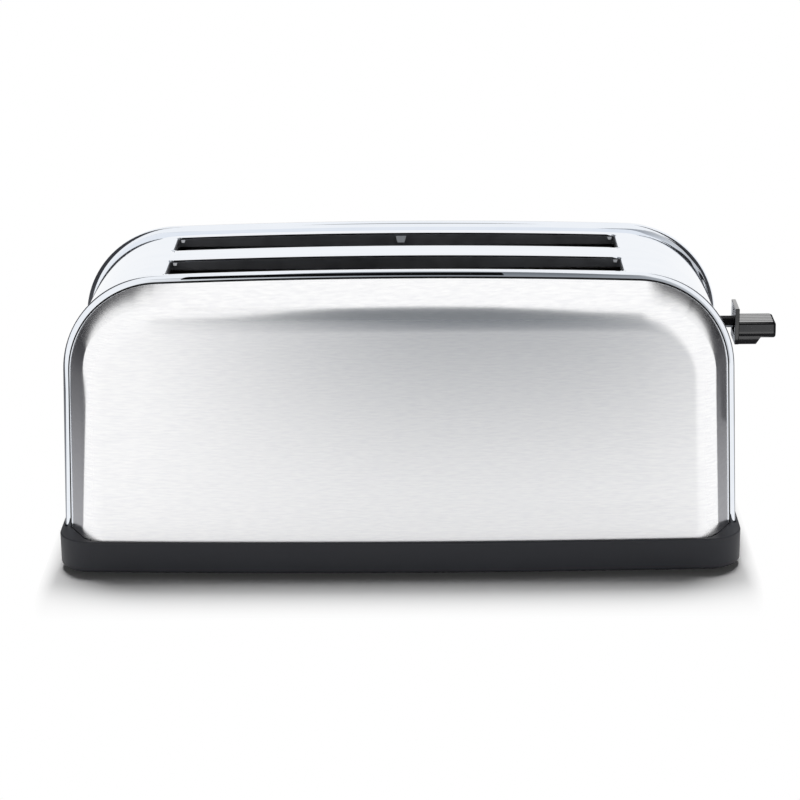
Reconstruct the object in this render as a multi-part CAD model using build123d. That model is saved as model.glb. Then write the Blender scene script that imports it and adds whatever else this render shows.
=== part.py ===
from build123d import *
import os
from math import cos, pi, radians, sin, sqrt, tan

# A long two-slot pop-up toaster, in millimetres. X runs along the slots with the lever at +X,
# the front is at -Y, and Z is up from the surface it stands on.

# Base moulding
BASE_LENGTH = 387.0
BASE_DEPTH = 173.2
BASE_BULGE = 4.6  # how far each long side bows out at mid length
BASE_CORNER_R = 20.0
BASE_TOP_Z = 21.5
BASE_FLOOR = 2.5
BASE_WALL = 4.5
BASE_END_WALL = 9.5
BASE_LIP = 1.6  # rim left standing outside the cover and panels
BASE_EDGE_R = 2.0
BASE_RIM_R = 0.7
LEDGE_DEPTH = 5.5  # the cover and panels stand this far below the rim
VENT_LENGTH = 42.0
VENT_WIDTH = 4.0
VENT_PITCH = 12.0
VENT_ROWS = 8

# Feet
FOOT_HEIGHT = 3.0
FOOT_R = 8.0
FOOT_STEM_R = 3.0
FOOT_FROM_END = 34.0
FOOT_FROM_SIDE = 21.0

# Cover: top and both ends in one polished sheet, with a raised bead along each long edge
COVER_WIDTH = 114.0
COVER_TOP_Z = 171.4
COVER_SHEET = 0.8
COVER_LEAN = 2.0  # degrees that the ends lean inwards
COVER_CORNER_R = 56.0
COVER_CROWN_R = 4000.0
BEAD_WIDTH = 6.0
BEAD_HEIGHT = 3.5
SLOT_LENGTH = 257.3
SLOT_WIDTH = 29.4
SLOT_PITCH = 50.8
SLOT_OFFSET = -1.85  # slot centre from the middle of the body
SLOT_CORNER_R = 2.0
SKIRT_DEPTH = 6.0

# Panels: deep-drawn sheets with a sloped flank round a slightly bowed face
PANEL_SHEET = 0.8
SEAM_STEP = 3.3  # the panel's rim lies this far inside the bead's crest
FLANK_DEPTH = 21.5
FLANK_RUN = 11.2
PANEL_BEND_R = 12.0
PANEL_FLANGE = 5.0

# Chassis
PLATE_SHEET = 1.0
PLATE_FROM_SLOT = 4.5
CHASSIS_DROP = 11.4  # chassis top below the cover's crest
CHASSIS_LIFT = 2.5  # chassis foot above the base rim
EAR_REACH = 11.0
EAR_HEIGHT = 12.0
FOOT_FLANGE = 13.0
SHIELD_SHEET = 0.6
SHIELD_FROM_CARD = 5.0
BOSS_R = 4.5

# Heaters
CARD_THICKNESS = 0.8
CARD_FROM_SLOT = 6.0
CARD_LIFT = 9.0
CARD_DROP = 3.0
RIBBON_THICKNESS = 0.3
RIBBON_HEIGHT = 2.2
RIBBON_RUNS = 12
RIBBON_MARGIN = 9.0

# Guards
GUARD_WIRE_R = 0.8
GUARD_RAIL_R = 1.0
PIVOT_R = 1.2
GUARD_PIVOT_LIFT = 12.0
GUARD_PIVOT_GAP = 11.0  # pivot from the slot's centre
GUARD_LEAN = 1.1  # degrees that a guard leans out at rest
GUARD_DROP = 3.0
GUARD_WIRES = 12
GUARD_WIRE_MARGIN = 12.0

# Carriage, with the lever up
LEVER_Z = 121.4  # middle of the handle
LEVER_TRAVEL = 56.0
RAIL_THICKNESS = 2.0
RAIL_HEIGHT = 7.0
RAIL_BELOW_LEVER = 25.0
RAIL_TAIL = 8.0
REST_WIDTH = 14.0
REST_LENGTH = 3.0
REST_THICKNESS = 1.2
RESTS = 10
CARRIAGE_FROM_PLATE = 2.0
CARRIAGE_SHEET = 1.5
CARRIAGE_MARGIN = 7.0
CARRIAGE_HEIGHT = 32.0
ROD_FROM_PLATE = 8.5
ROD_R = 2.5
BUSH_WALL = 2.0
BUSH_LENGTH = 27.0
COLLAR_WALL = 2.2
COLLAR_HEIGHT = 12.0
ROD_CLIP_SHEET = 2.0
ROD_CLIP_WIDTH = 14.0
ROD_CLIP_MARGIN = 6.5
ROD_TAIL = 2.0
ROD_FOOT_LIFT = 8.0
ROD_HEAD_DROP = 8.0

# Lever handle
ARM_THICKNESS = 2.5
ARM_HEIGHT = 5.0
ARM_ABOVE_CENTRE = 2.0
LEVER_GAP = 1.6  # from the bead's foot line to the back plate
BACKPLATE_THICKNESS = 2.6
BACKPLATE_WIDTH = 21.0
BACKPLATE_RISE = 13.1
BACKPLATE_FALL = 8.3
KNOB_LENGTH = 21.2
KNOB_HEIGHT = 9.2
KNOB_EDGE_R = 1.5
RIB_LENGTH = 12.5
RIB_SLOPE = 3.5
STUB_WIDTH = 6.0
STUB_LENGTH = 11.0
LEVER_SLOT_SIDE = 1.0
LEVER_SLOT_END = 2.0

# Return spring
SPRING_Y = 20.0
SPRING_R = 3.2
SPRING_WIRE_R = 0.45
SPRING_TURNS = 11
SPRING_HOOK_R = 1.2
SPRING_TAIL = 1.0
SPRING_TAB = 12.0

# Hold-down magnet
MAGNET_FROM_PLATE = 13.5
MAGNET_GAP = 0.3
ARMATURE_LIFT = 18.0  # armature above the carriage's lower edge
ARMATURE_SIZE = 14.0
ARMATURE_THICKNESS = 2.0
CORE_R = 4.0
CORE_HEIGHT = 23.0
COIL_R = 8.5
BOBBIN_R = 9.5
BOBBIN_FLANGE = 1.2
BOBBIN_HEIGHT = 19.0
YOKE_SHEET = 2.0
YOKE_LIP = 6.0

# Controls on the lever end
DIAL_Z = 41.0
DIAL_R = 13.5
DIAL_THICKNESS = 6.4
DIAL_GAP = 0.8
DIAL_EDGE_R = 1.2
DIAL_GRIPS = 24
DIAL_GRIP_R = 0.6
DIAL_SHAFT_R = 3.0
SHAFT_HOLE_GAP = 1.0
BUTTON_Y = 31.0
BUTTON_R = 4.5
BUTTON_COLLAR = 1.6
BUTTON_COLLAR_THICKNESS = 1.5
BUTTON_PROUD = 2.4
BUTTON_TRAVEL = 1.5
BUTTON_PITCH = 13.0
BUTTON_LOW_Z = 32.0

# Control board
BOARD_THICKNESS = 1.6
BOARD_FROM_END = 16.0
BOARD_MARGIN = 8.0
BOARD_TOP_EDGE = 2.0
POT_SIZE = 16.0
POT_DEPTH = 7.5
POT_SOCKET = 6.0
SWITCH_SIZE = 6.0
SWITCH_DEPTH = 4.0
PLUNGER_R = 1.6
PLUNGER_LENGTH = 1.4
POST_WIDTH = 6.0
POST_GRIP = 2.0

# Contact blades
CONTACT_BLOCK = 9.0
CONTACT_LIFT = 6.0
BLADE_THICKNESS = 0.5
BLADE_WIDTH = 5.0
BLADE_LENGTH = 24.0

# Crumb tray
TRAY_HALF_WIDTH = 48.0
TRAY_SHEET = 0.8
TRAY_WALL_HEIGHT = 6.0
TRAY_PULL_THICKNESS = 3.5
TRAY_SCOOP_R = 14.0
TRAY_SCOOP_HEIGHT = 2.6

# Cord gland and terminals
GLAND_FROM_END = 53.5
GLAND_BORE_R = 3.5
GLAND_WALL = 1.0
GLAND_FLANGE = 1.6
GLAND_FLANGE_THICKNESS = 2.0
GLAND_TAIL = 4.0
GLAND_FACE_DEPTH = 1.6
TERMINAL_LENGTH = 22.0
TERMINAL_WIDTH = 12.0
TERMINAL_HEIGHT = 10.0
TERMINAL_FROM_WALL = 12.5
TERMINAL_FROM_GLAND = 20.0

# Screws
SCREW_R = 1.5
SCREW_HEAD_R = 2.8
SCREW_HEAD = 2.0
SCREW_LENGTH = 9.0

# Clearances
FIT_GAP = 0.3  # between parts that only lie beside each other
RUN_GAP = 0.05  # round a shaft that turns or slides
SEAT_GAP = 0.02  # round a pin that is held
SLIDE_GAP = 0.5  # round a carriage part in its window

# Places worked out from the sizes above
HALF_LENGTH = BASE_LENGTH / 2
LEDGE_Z = BASE_TOP_Z - LEDGE_DEPTH
FLOOR_Z = FOOT_HEIGHT + BASE_FLOOR
COVER_HALF = HALF_LENGTH - BASE_LIP - FIT_GAP
RIM_Y = COVER_WIDTH / 2
BULGE_R = (HALF_LENGTH**2 + BASE_BULGE**2) / (2 * BASE_BULGE)
FACE_Y = BASE_DEPTH / 2 - BASE_LIP - FIT_GAP
FACE_R = BULGE_R - BASE_LIP - FIT_GAP
FLANK_SLOPE = FLANK_RUN / FLANK_DEPTH
RECESS = BEAD_HEIGHT + COVER_SHEET

SLOT_Y = SLOT_PITCH / 2
SLOT_LEFT = SLOT_OFFSET - SLOT_LENGTH / 2
SLOT_RIGHT = SLOT_OFFSET + SLOT_LENGTH / 2
PLATE_LEFT = SLOT_LEFT - PLATE_FROM_SLOT
PLATE_RIGHT = SLOT_RIGHT + PLATE_FROM_SLOT
PLATE_OUT = PLATE_RIGHT + PLATE_SHEET
CHASSIS_TOP = COVER_TOP_Z - CHASSIS_DROP
CHASSIS_FOOT = BASE_TOP_Z + CHASSIS_LIFT
CARD_Y = SLOT_Y + SLOT_WIDTH / 2 + CARD_FROM_SLOT
SHIELD_Y = CARD_Y + SHIELD_FROM_CARD
BOSS_Y = SHIELD_Y + EAR_REACH / 2
CARD_LOW = CHASSIS_FOOT + CARD_LIFT
CARD_HIGH = CHASSIS_TOP - CARD_DROP
PIVOT_Z = CHASSIS_FOOT + GUARD_PIVOT_LIFT
GUARD_TOP = CHASSIS_TOP - GUARD_DROP

ROD_X = PLATE_OUT + ROD_FROM_PLATE
ROD_LOW = CHASSIS_FOOT + ROD_FOOT_LIFT
ROD_HIGH = CHASSIS_TOP - ROD_HEAD_DROP
CARRIAGE_X = PLATE_OUT + CARRIAGE_FROM_PLATE
CARRIAGE_OUT = CARRIAGE_X + CARRIAGE_SHEET
RAIL_HIGH = LEVER_Z - RAIL_BELOW_LEVER + RAIL_HEIGHT
RAIL_LOW = LEVER_Z - RAIL_BELOW_LEVER
CARRIAGE_LOW = RAIL_LOW
CARRIAGE_HIGH = CARRIAGE_LOW + CARRIAGE_HEIGHT
BUSH_R = ROD_R + RUN_GAP + BUSH_WALL
COLLAR_HALF = BUSH_R + SEAT_GAP + COLLAR_WALL
COLLAR_HIGH = CARRIAGE_HIGH
COLLAR_LOW = COLLAR_HIGH - COLLAR_HEIGHT

BACKPLATE_X = COVER_HALF + LEVER_GAP
KNOB_X = BACKPLATE_X + BACKPLATE_THICKNESS
LEVER_TIP = KNOB_X + KNOB_LENGTH
ARM_Z = LEVER_Z + ARM_ABOVE_CENTRE
ARM_END = KNOB_X + KNOB_LENGTH / 2
LEVER_SLOT_LOW = ARM_Z - ARM_HEIGHT / 2 - LEVER_TRAVEL - LEVER_SLOT_END
LEVER_SLOT_HIGH = ARM_Z + ARM_HEIGHT / 2 + LEVER_SLOT_END

ARMATURE_LOW = CARRIAGE_LOW + ARMATURE_LIFT
MAGNET_TOP = ARMATURE_LOW - LEVER_TRAVEL - MAGNET_GAP
MAGNET_X = PLATE_OUT + MAGNET_FROM_PLATE
MAGNET_Y = -SLOT_Y
CONTACT_Y = SLOT_Y + GUARD_PIVOT_GAP + CONTACT_BLOCK
BOARD_X = COVER_HALF - BOARD_FROM_END - BOARD_THICKNESS
BOARD_OUT = BOARD_X + BOARD_THICKNESS
BUTTON_ZS = [BUTTON_LOW_Z + i * BUTTON_PITCH for i in range(3)]
BOARD_LOW = BUTTON_LOW_Z - BOARD_MARGIN
BOARD_HIGH = BUTTON_ZS[-1] + SWITCH_SIZE / 2 + BOARD_TOP_EDGE
BOARD_LEFT = MAGNET_Y + BOBBIN_R + FIT_GAP + POST_WIDTH - POST_GRIP
BOARD_RIGHT = BUTTON_Y + SWITCH_SIZE / 2 + BOARD_MARGIN
SWITCH_OUT = BOARD_OUT + SWITCH_DEPTH + PLUNGER_LENGTH

TRAY_LOW = FLOOR_Z + FIT_GAP
TRAY_HIGH = TRAY_LOW + TRAY_WALL_HEIGHT
TRAY_RIGHT = PLATE_RIGHT - PLATE_SHEET
GLAND_X = HALF_LENGTH - GLAND_FROM_END
GLAND_Z = (FLOOR_Z + LEDGE_Z) / 2
GLAND_R = GLAND_BORE_R + GLAND_WALL

# The whole toaster is shifted so that X is measured from the middle of its length, lever included
X_SHIFT = (HALF_LENGTH - LEVER_TIP) / 2


def block(x0, x1, y0, y1, z0, z1):
    """Box between two corners."""
    box = Box(x1 - x0, y1 - y0, z1 - z0)
    return Pos((x0 + x1) / 2, (y0 + y1) / 2, (z0 + z1) / 2) * box


def rod_x(x0, x1, y, z, radius):
    """Round bar along X."""
    return Pos((x0 + x1) / 2, y, z) * Rot(0, 90, 0) * Cylinder(radius, x1 - x0)


def rod_y(x, y0, y1, z, radius):
    """Round bar along Y."""
    return Pos(x, (y0 + y1) / 2, z) * Rot(90, 0, 0) * Cylinder(radius, y1 - y0)


def rod_z(x, y, z0, z1, radius):
    """Round bar along Z."""
    return Pos(x, y, (z0 + z1) / 2) * Cylinder(radius, z1 - z0)


def end_x(z, inset):
    """Half length of the body's end outline at height z, that far inside the bead's crest."""
    lean = radians(COVER_LEAN)
    return COVER_HALF - (z - BASE_TOP_Z) * tan(lean) - inset / cos(lean)


def body_outline(inset, bottom):
    """Upright outline of the body in X and Z: leaning ends, round shoulders and a crowned top."""
    crown = COVER_CROWN_R - inset
    centre = COVER_TOP_Z - COVER_CROWN_R
    top = COVER_TOP_Z - inset
    for _ in range(12):
        top = centre + sqrt(crown**2 - end_x(top, inset) ** 2)
    foot = end_x(bottom, inset)
    shoulder = end_x(top, inset)
    edges = [
        Line((-foot, bottom), (foot, bottom)),
        Line((foot, bottom), (shoulder, top)),
        ThreePointArc((shoulder, top), (0, COVER_TOP_Z - inset), (-shoulder, top)),
        Line((-shoulder, top), (-foot, bottom)),
    ]
    face = make_face(edges)
    return fillet(face.vertices().group_by(Axis.Y)[-1], COVER_CORNER_R - inset)


def body_slab(inset, y0, y1, bottom):
    """The body outline made solid between two places along Y."""
    return extrude(Plane.XZ.offset(-y1) * body_outline(inset, bottom), amount=y1 - y0)


def base_plan(inset):
    """Plan of the base: bowed long sides and round corners."""
    x = HALF_LENGTH
    y = BASE_DEPTH / 2
    corner = y - BASE_BULGE
    edges = [
        ThreePointArc((-x, -corner), (0, -y), (x, -corner)),
        Line((x, -corner), (x, corner)),
        ThreePointArc((x, corner), (0, y), (-x, corner)),
        Line((-x, corner), (-x, -corner)),
    ]
    plan = fillet(make_face(edges).vertices(), BASE_CORNER_R)
    return offset(plan, -inset) if inset else plan


def bow_slab(skin, bottom):
    """Everything behind the bowed front, `skin` below its surface."""
    x = HALF_LENGTH
    side = FACE_R - FACE_Y - sqrt((FACE_R - skin) ** 2 - x**2)
    edges = [
        ThreePointArc((-x, side), (0, skin - FACE_Y), (x, side)),
        Line((x, side), (x, 0)),
        Line((x, 0), (-x, 0)),
        Line((-x, 0), (-x, side)),
    ]
    return extrude(Pos(0, 0, bottom - BASE_FLOOR) * make_face(edges), amount=COVER_TOP_Z)


def panel_blank(skin, depth, bottom):
    """Solid space inside the front panel, `skin` below its outer surface, from `depth` outwards."""
    start = SEAM_STEP + skin * sqrt(1 + FLANK_SLOPE**2)
    reach = FACE_Y - RIM_Y + PANEL_SHEET
    sections = []
    for d in (depth, reach):
        outline = body_outline(start + FLANK_SLOPE * d, bottom)
        sections.append(Plane.XZ.offset(RIM_Y + d) * outline)
    blank = loft(sections, ruled=True) & bow_slab(skin, bottom)
    face = blank.faces().sort_by(Axis.Y)[0]
    bend = [e for e in face.edges() if e.center().Z > bottom + PANEL_BEND_R / 4]
    return fillet(bend, PANEL_BEND_R - skin)


def make_panel():
    """Front panel: a drawn sheet with a narrow turned-in flange behind its rim."""
    low = LEDGE_Z - BASE_FLOOR
    panel = panel_blank(0, 0, LEDGE_Z) - panel_blank(PANEL_SHEET, PANEL_SHEET, low)
    mouth = body_slab(SEAM_STEP + PANEL_FLANGE, -RIM_Y - 2 * PANEL_SHEET, -RIM_Y, low)
    return panel - mouth


def make_base():
    """Black base: rim round the body, ledge inside it, floor with vents, bosses and tray mouth."""
    base = extrude(Pos(0, 0, FOOT_HEIGHT) * base_plan(0), amount=BASE_TOP_Z - FOOT_HEIGHT)
    base = fillet(base.edges().group_by(Axis.Z)[0], BASE_EDGE_R)
    base = fillet(base.edges().group_by(Axis.Z)[-1], BASE_RIM_R)
    rim = BASE_LIP + FIT_GAP
    body = block(-COVER_HALF - FIT_GAP, COVER_HALF + FIT_GAP, -RIM_Y, RIM_Y, LEDGE_Z, COVER_TOP_Z)
    front = panel_blank(-FIT_GAP, 0, LEDGE_Z)
    body += front + mirror(front, about=Plane.XZ)
    base -= body
    inside = extrude(Pos(0, 0, FLOOR_Z) * base_plan(BASE_WALL), amount=COVER_TOP_Z)
    wide = HALF_LENGTH - BASE_END_WALL
    inside &= block(-wide, wide, -BASE_DEPTH, BASE_DEPTH, FLOOR_Z, LEDGE_Z + FIT_GAP)
    base -= inside
    for x, y in boss_places():
        base += rod_z(x, y, FLOOR_Z - BASE_FLOOR / 2, CHASSIS_FOOT, BOSS_R)
        base -= rod_z(x, y, CHASSIS_FOOT - SCREW_LENGTH, CHASSIS_FOOT, SCREW_R + SEAT_GAP)
    mouth = TRAY_HALF_WIDTH + FIT_GAP
    base -= block(-HALF_LENGTH - rim, -wide + rim, -mouth, mouth, FLOOR_Z, TRAY_HIGH + FIT_GAP)
    for x, y in foot_places():
        base -= rod_z(x, y, 0, FLOOR_Z, FOOT_STEM_R + SEAT_GAP)
    for row in range(VENT_ROWS):
        y = (row - (VENT_ROWS - 1) / 2) * VENT_PITCH
        for x in (-VENT_LENGTH, VENT_LENGTH):
            vent = SlotOverall(VENT_LENGTH, VENT_WIDTH)
            base -= extrude(Pos(x, y, 0) * vent, amount=FLOOR_Z)
    flat = gland_face()
    inner = flat - BASE_WALL - GLAND_TAIL
    base -= rod_y(GLAND_X, inner, BASE_DEPTH, GLAND_Z, GLAND_R + SEAT_GAP)
    base -= rod_y(GLAND_X, flat, BASE_DEPTH, GLAND_Z, GLAND_R + GLAND_FLANGE + FIT_GAP)
    return base


def boss_places():
    """Where the four chassis screws stand."""
    left = PLATE_LEFT - PLATE_SHEET - FOOT_FLANGE / 2
    right = PLATE_OUT + FOOT_FLANGE / 2
    return [(x, side * BOSS_Y) for x in (left, right) for side in (-1, 1)]


def foot_places():
    """Where the four feet stand."""
    x = HALF_LENGTH - FOOT_FROM_END
    y = BASE_DEPTH / 2 - FOOT_FROM_SIDE
    return [(i * x, j * y) for i in (-1, 1) for j in (-1, 1)]


def gland_face():
    """Y of the flat that the gland's flange lies on, cut into the bowed rear wall."""
    wall = BASE_DEPTH / 2 - BULGE_R + sqrt(BULGE_R**2 - GLAND_X**2)
    return wall - GLAND_FACE_DEPTH


def make_feet():
    """Four rubber feet with stems in the base floor."""
    feet = []
    for x, y in foot_places():
        pad = rod_z(x, y, 0, FOOT_HEIGHT, FOOT_R)
        pad = chamfer(pad.edges().group_by(Axis.Z)[0], FOOT_HEIGHT / 4)
        feet.append(pad + rod_z(x, y, FOOT_HEIGHT, FLOOR_Z, FOOT_STEM_R))
    return feet


def make_cover():
    """Polished cover: recessed sheet between two raised round beads, slots, lever slot and holes."""
    cover = body_slab(BEAD_HEIGHT, -RIM_Y, RIM_Y, LEDGE_Z)
    for side in (-1, 1):
        y = side * (RIM_Y - BEAD_WIDTH / 2)
        bead = body_slab(0, y - BEAD_WIDTH / 2, y + BEAD_WIDTH / 2, LEDGE_Z)
        ends = bead.faces().sort_by(Axis.Y)
        crest = [e for f in (ends[0], ends[-1]) for e in f.edges() if e.center().Z > LEDGE_Z + 1]
        cover += fillet(crest, min(BEAD_HEIGHT, BEAD_WIDTH / 2) - BEAD_HEIGHT / 12)
    cover -= body_slab(RECESS, -RIM_Y, RIM_Y, LEDGE_Z - BASE_FLOOR)
    sheet = body_slab(BEAD_HEIGHT, -RIM_Y, RIM_Y, LEDGE_Z)
    low = COVER_TOP_Z - BEAD_HEIGHT - SKIRT_DEPTH
    for y in (-SLOT_Y, SLOT_Y):
        grow = 2 * COVER_SHEET
        outer = RectangleRounded(SLOT_LENGTH + grow, SLOT_WIDTH + grow, SLOT_CORNER_R + COVER_SHEET)
        inner = RectangleRounded(SLOT_LENGTH, SLOT_WIDTH, SLOT_CORNER_R)
        cover += extrude(Pos(SLOT_OFFSET, y, low) * outer, amount=COVER_TOP_Z - low) & sheet
        cover -= extrude(Pos(SLOT_OFFSET, y, low - 1) * inner, amount=COVER_TOP_Z)
    half = STUB_WIDTH / 2 + LEVER_SLOT_SIDE
    cover -= block(ROD_X, LEVER_TIP, -half, half, LEVER_SLOT_LOW, LEVER_SLOT_HIGH)
    cover -= rod_x(ROD_X, LEVER_TIP, 0, DIAL_Z, DIAL_SHAFT_R + SHAFT_HOLE_GAP)
    for z in BUTTON_ZS:
        cover -= rod_x(ROD_X, LEVER_TIP, BUTTON_Y, z, BUTTON_R + FIT_GAP)
    return cover


def plate_face(inner):
    """Chassis end plate in Y and Z, with ears, rail windows and guard pivot holes."""
    out = inner + PLATE_SHEET
    plate = block(inner, out, -SHIELD_Y, SHIELD_Y, CHASSIS_FOOT, CHASSIS_TOP)
    ear = SHIELD_Y + EAR_REACH
    plate += block(inner, out, -ear, ear, CHASSIS_FOOT, CHASSIS_FOOT + EAR_HEIGHT)
    window = RAIL_THICKNESS / 2 + SLIDE_GAP
    low = RAIL_LOW - LEVER_TRAVEL - SLIDE_GAP
    for y in (-SLOT_Y, SLOT_Y):
        plate -= block(inner, out, y - window, y + window, low, RAIL_HIGH + SLIDE_GAP)
        for side in (-1, 1):
            pivot = y + side * GUARD_PIVOT_GAP
            plate -= rod_x(inner, out, pivot, PIVOT_Z, PIVOT_R + RUN_GAP)
    return plate


def make_plates():
    """Left and right chassis end plates, each with a foot flange turned outwards."""
    left = plate_face(PLATE_LEFT - PLATE_SHEET)
    right = plate_face(PLATE_RIGHT)
    ear = SHIELD_Y + EAR_REACH
    top = CHASSIS_FOOT + PLATE_SHEET
    left_edge = PLATE_LEFT - PLATE_SHEET
    left += block(left_edge - FOOT_FLANGE, PLATE_LEFT, -ear, ear, CHASSIS_FOOT, top)
    right += block(PLATE_RIGHT, PLATE_OUT + FOOT_FLANGE, -ear, ear, CHASSIS_FOOT, top)
    for x, y in boss_places():
        hole = rod_z(x, y, CHASSIS_FOOT, top, SCREW_R + FIT_GAP)
        left -= hole
        right -= hole
    return left, right


def make_shield(side):
    """Heat shield between the end plates' edges and the panel."""
    y0, y1 = sorted((side * SHIELD_Y, side * (SHIELD_Y + SHIELD_SHEET)))
    low = CHASSIS_FOOT + EAR_HEIGHT
    return block(PLATE_LEFT - PLATE_SHEET, PLATE_OUT, y0, y1, low, CHASSIS_TOP)


def make_card(y):
    """Mica card held between the two end plates."""
    half = CARD_THICKNESS / 2
    return block(PLATE_LEFT, PLATE_RIGHT, y - half, y + half, CARD_LOW, CARD_HIGH)


def make_ribbon(y, side):
    """Resistance ribbon laid to and fro on one face of a mica card."""
    left = PLATE_LEFT + RIBBON_MARGIN
    right = PLATE_RIGHT - RIBBON_MARGIN
    step = (CARD_HIGH - CARD_LOW - 2 * RIBBON_MARGIN) / (RIBBON_RUNS - 1)
    strip = RIBBON_HEIGHT / 2
    face = y + side * CARD_THICKNESS / 2
    y0, y1 = sorted((face, face + side * RIBBON_THICKNESS))
    ribbon = Part()
    for run in range(RIBBON_RUNS):
        z = CARD_LOW + RIBBON_MARGIN + run * step
        ribbon += block(left, right, y0, y1, z - strip, z + strip)
        if run < RIBBON_RUNS - 1:
            x = right if run % 2 == 0 else left + RIBBON_HEIGHT
            ribbon += block(x - RIBBON_HEIGHT, x, y0, y1, z, z + step)
    return ribbon


def make_guard(slot_y, side):
    """Wire guard beside a slot: pivot wire, top rail and uprights, leaning out at rest."""
    y = slot_y + side * GUARD_PIVOT_GAP
    guard = rod_x(PLATE_LEFT - 2 * PLATE_SHEET, PLATE_OUT + PLATE_SHEET, y, PIVOT_Z, PIVOT_R)
    left = SLOT_LEFT + GUARD_WIRE_MARGIN / 2
    right = SLOT_RIGHT - GUARD_WIRE_MARGIN / 2
    guard += rod_x(left, right, y, GUARD_TOP, GUARD_RAIL_R)
    step = (SLOT_LENGTH - 2 * GUARD_WIRE_MARGIN) / (GUARD_WIRES - 1)
    for i in range(GUARD_WIRES):
        x = SLOT_LEFT + GUARD_WIRE_MARGIN + i * step
        guard += rod_z(x, y, PIVOT_Z, GUARD_TOP, GUARD_WIRE_R)
    return guard.rotate(Axis((0, y, PIVOT_Z), (1, 0, 0)), -side * GUARD_LEAN)


def make_lift_rail(y):
    """Lift rail through the windows of both plates, with cross rests along its top edge."""
    half = RAIL_THICKNESS / 2
    left = PLATE_LEFT - PLATE_SHEET - RAIL_TAIL
    rail = block(left, CARRIAGE_X, y - half, y + half, RAIL_LOW, RAIL_HIGH)
    step = (SLOT_LENGTH - 2 * GUARD_WIRE_MARGIN) / (RESTS - 1)
    for i in range(RESTS):
        x = SLOT_LEFT + GUARD_WIRE_MARGIN + i * step
        x0, x1 = x - REST_LENGTH / 2, x + REST_LENGTH / 2
        y0, y1 = y - REST_WIDTH / 2, y + REST_WIDTH / 2
        rail += block(x0, x1, y0, y1, RAIL_HIGH - REST_THICKNESS, RAIL_HIGH)
    return rail


def make_carriage():
    """Carriage bracket: cross plate for the rails, collar for the bush, tabs for spring and armature."""
    half = SLOT_Y + CARRIAGE_MARGIN
    part = block(CARRIAGE_X, CARRIAGE_OUT, -half, half, CARRIAGE_LOW, CARRIAGE_HIGH)
    reach = ROD_X + COLLAR_HALF
    part += block(CARRIAGE_X, reach, -COLLAR_HALF, COLLAR_HALF, COLLAR_LOW, COLLAR_HIGH)
    part -= rod_z(ROD_X, 0, CARRIAGE_LOW, CARRIAGE_HIGH, BUSH_R + SEAT_GAP)
    tab = SPRING_TAB / 2
    top = CARRIAGE_HIGH
    y0, y1 = SPRING_Y - tab, SPRING_Y + tab
    part += block(CARRIAGE_X, ROD_X + tab, y0, y1, top - CARRIAGE_SHEET, top)
    side = ARMATURE_SIZE / 2
    y0, y1 = MAGNET_Y - side, MAGNET_Y + side
    low = ARMATURE_LOW + ARMATURE_THICKNESS
    part += block(CARRIAGE_X, MAGNET_X + side, y0, y1, low, low + CARRIAGE_SHEET)
    return part


def make_armature():
    """Armature plate under the carriage's tab, which the magnet holds down."""
    side = ARMATURE_SIZE / 2
    y0, y1 = MAGNET_Y - side, MAGNET_Y + side
    high = ARMATURE_LOW + ARMATURE_THICKNESS
    return block(MAGNET_X - side, MAGNET_X + side, y0, y1, ARMATURE_LOW, high)


def make_bush():
    """Plastic slider bush on the guide rod."""
    high = COLLAR_HIGH + FIT_GAP
    bush = rod_z(ROD_X, 0, high - BUSH_LENGTH, high, BUSH_R)
    return bush - rod_z(ROD_X, 0, high - BUSH_LENGTH, high, ROD_R + RUN_GAP)


def make_rod_clips():
    """Two brackets on the right plate that hold the guide rod; the upper one also hangs the spring."""
    clips = []
    for low in (ROD_LOW, ROD_HIGH - ROD_CLIP_SHEET):
        high = low + ROD_CLIP_SHEET
        half = ROD_CLIP_WIDTH / 2
        out = ROD_X + ROD_CLIP_MARGIN
        clip = block(PLATE_OUT, out, -half, half, low, high)
        lip = ROD_CLIP_MARGIN if low == ROD_LOW else -ROD_CLIP_MARGIN
        z0, z1 = sorted((low + ROD_CLIP_SHEET / 2, low + ROD_CLIP_SHEET / 2 + lip))
        clip += block(PLATE_OUT, PLATE_OUT + ROD_CLIP_SHEET, -half, half, z0, z1)
        if low != ROD_LOW:
            tab = SPRING_TAB / 2
            clip += block(ROD_X - tab, out, 0, SPRING_Y + tab, low, high)
        clips.append(clip - rod_z(ROD_X, 0, low, high, ROD_R + SEAT_GAP))
    return clips


def make_arm():
    """Steel lever arm from the carriage collar to the middle of the handle."""
    half = ARM_THICKNESS / 2
    z0, z1 = ARM_Z - ARM_HEIGHT / 2, ARM_Z + ARM_HEIGHT / 2
    return block(ROD_X + COLLAR_HALF, ARM_END, -half, half, z0, z1)


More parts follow.
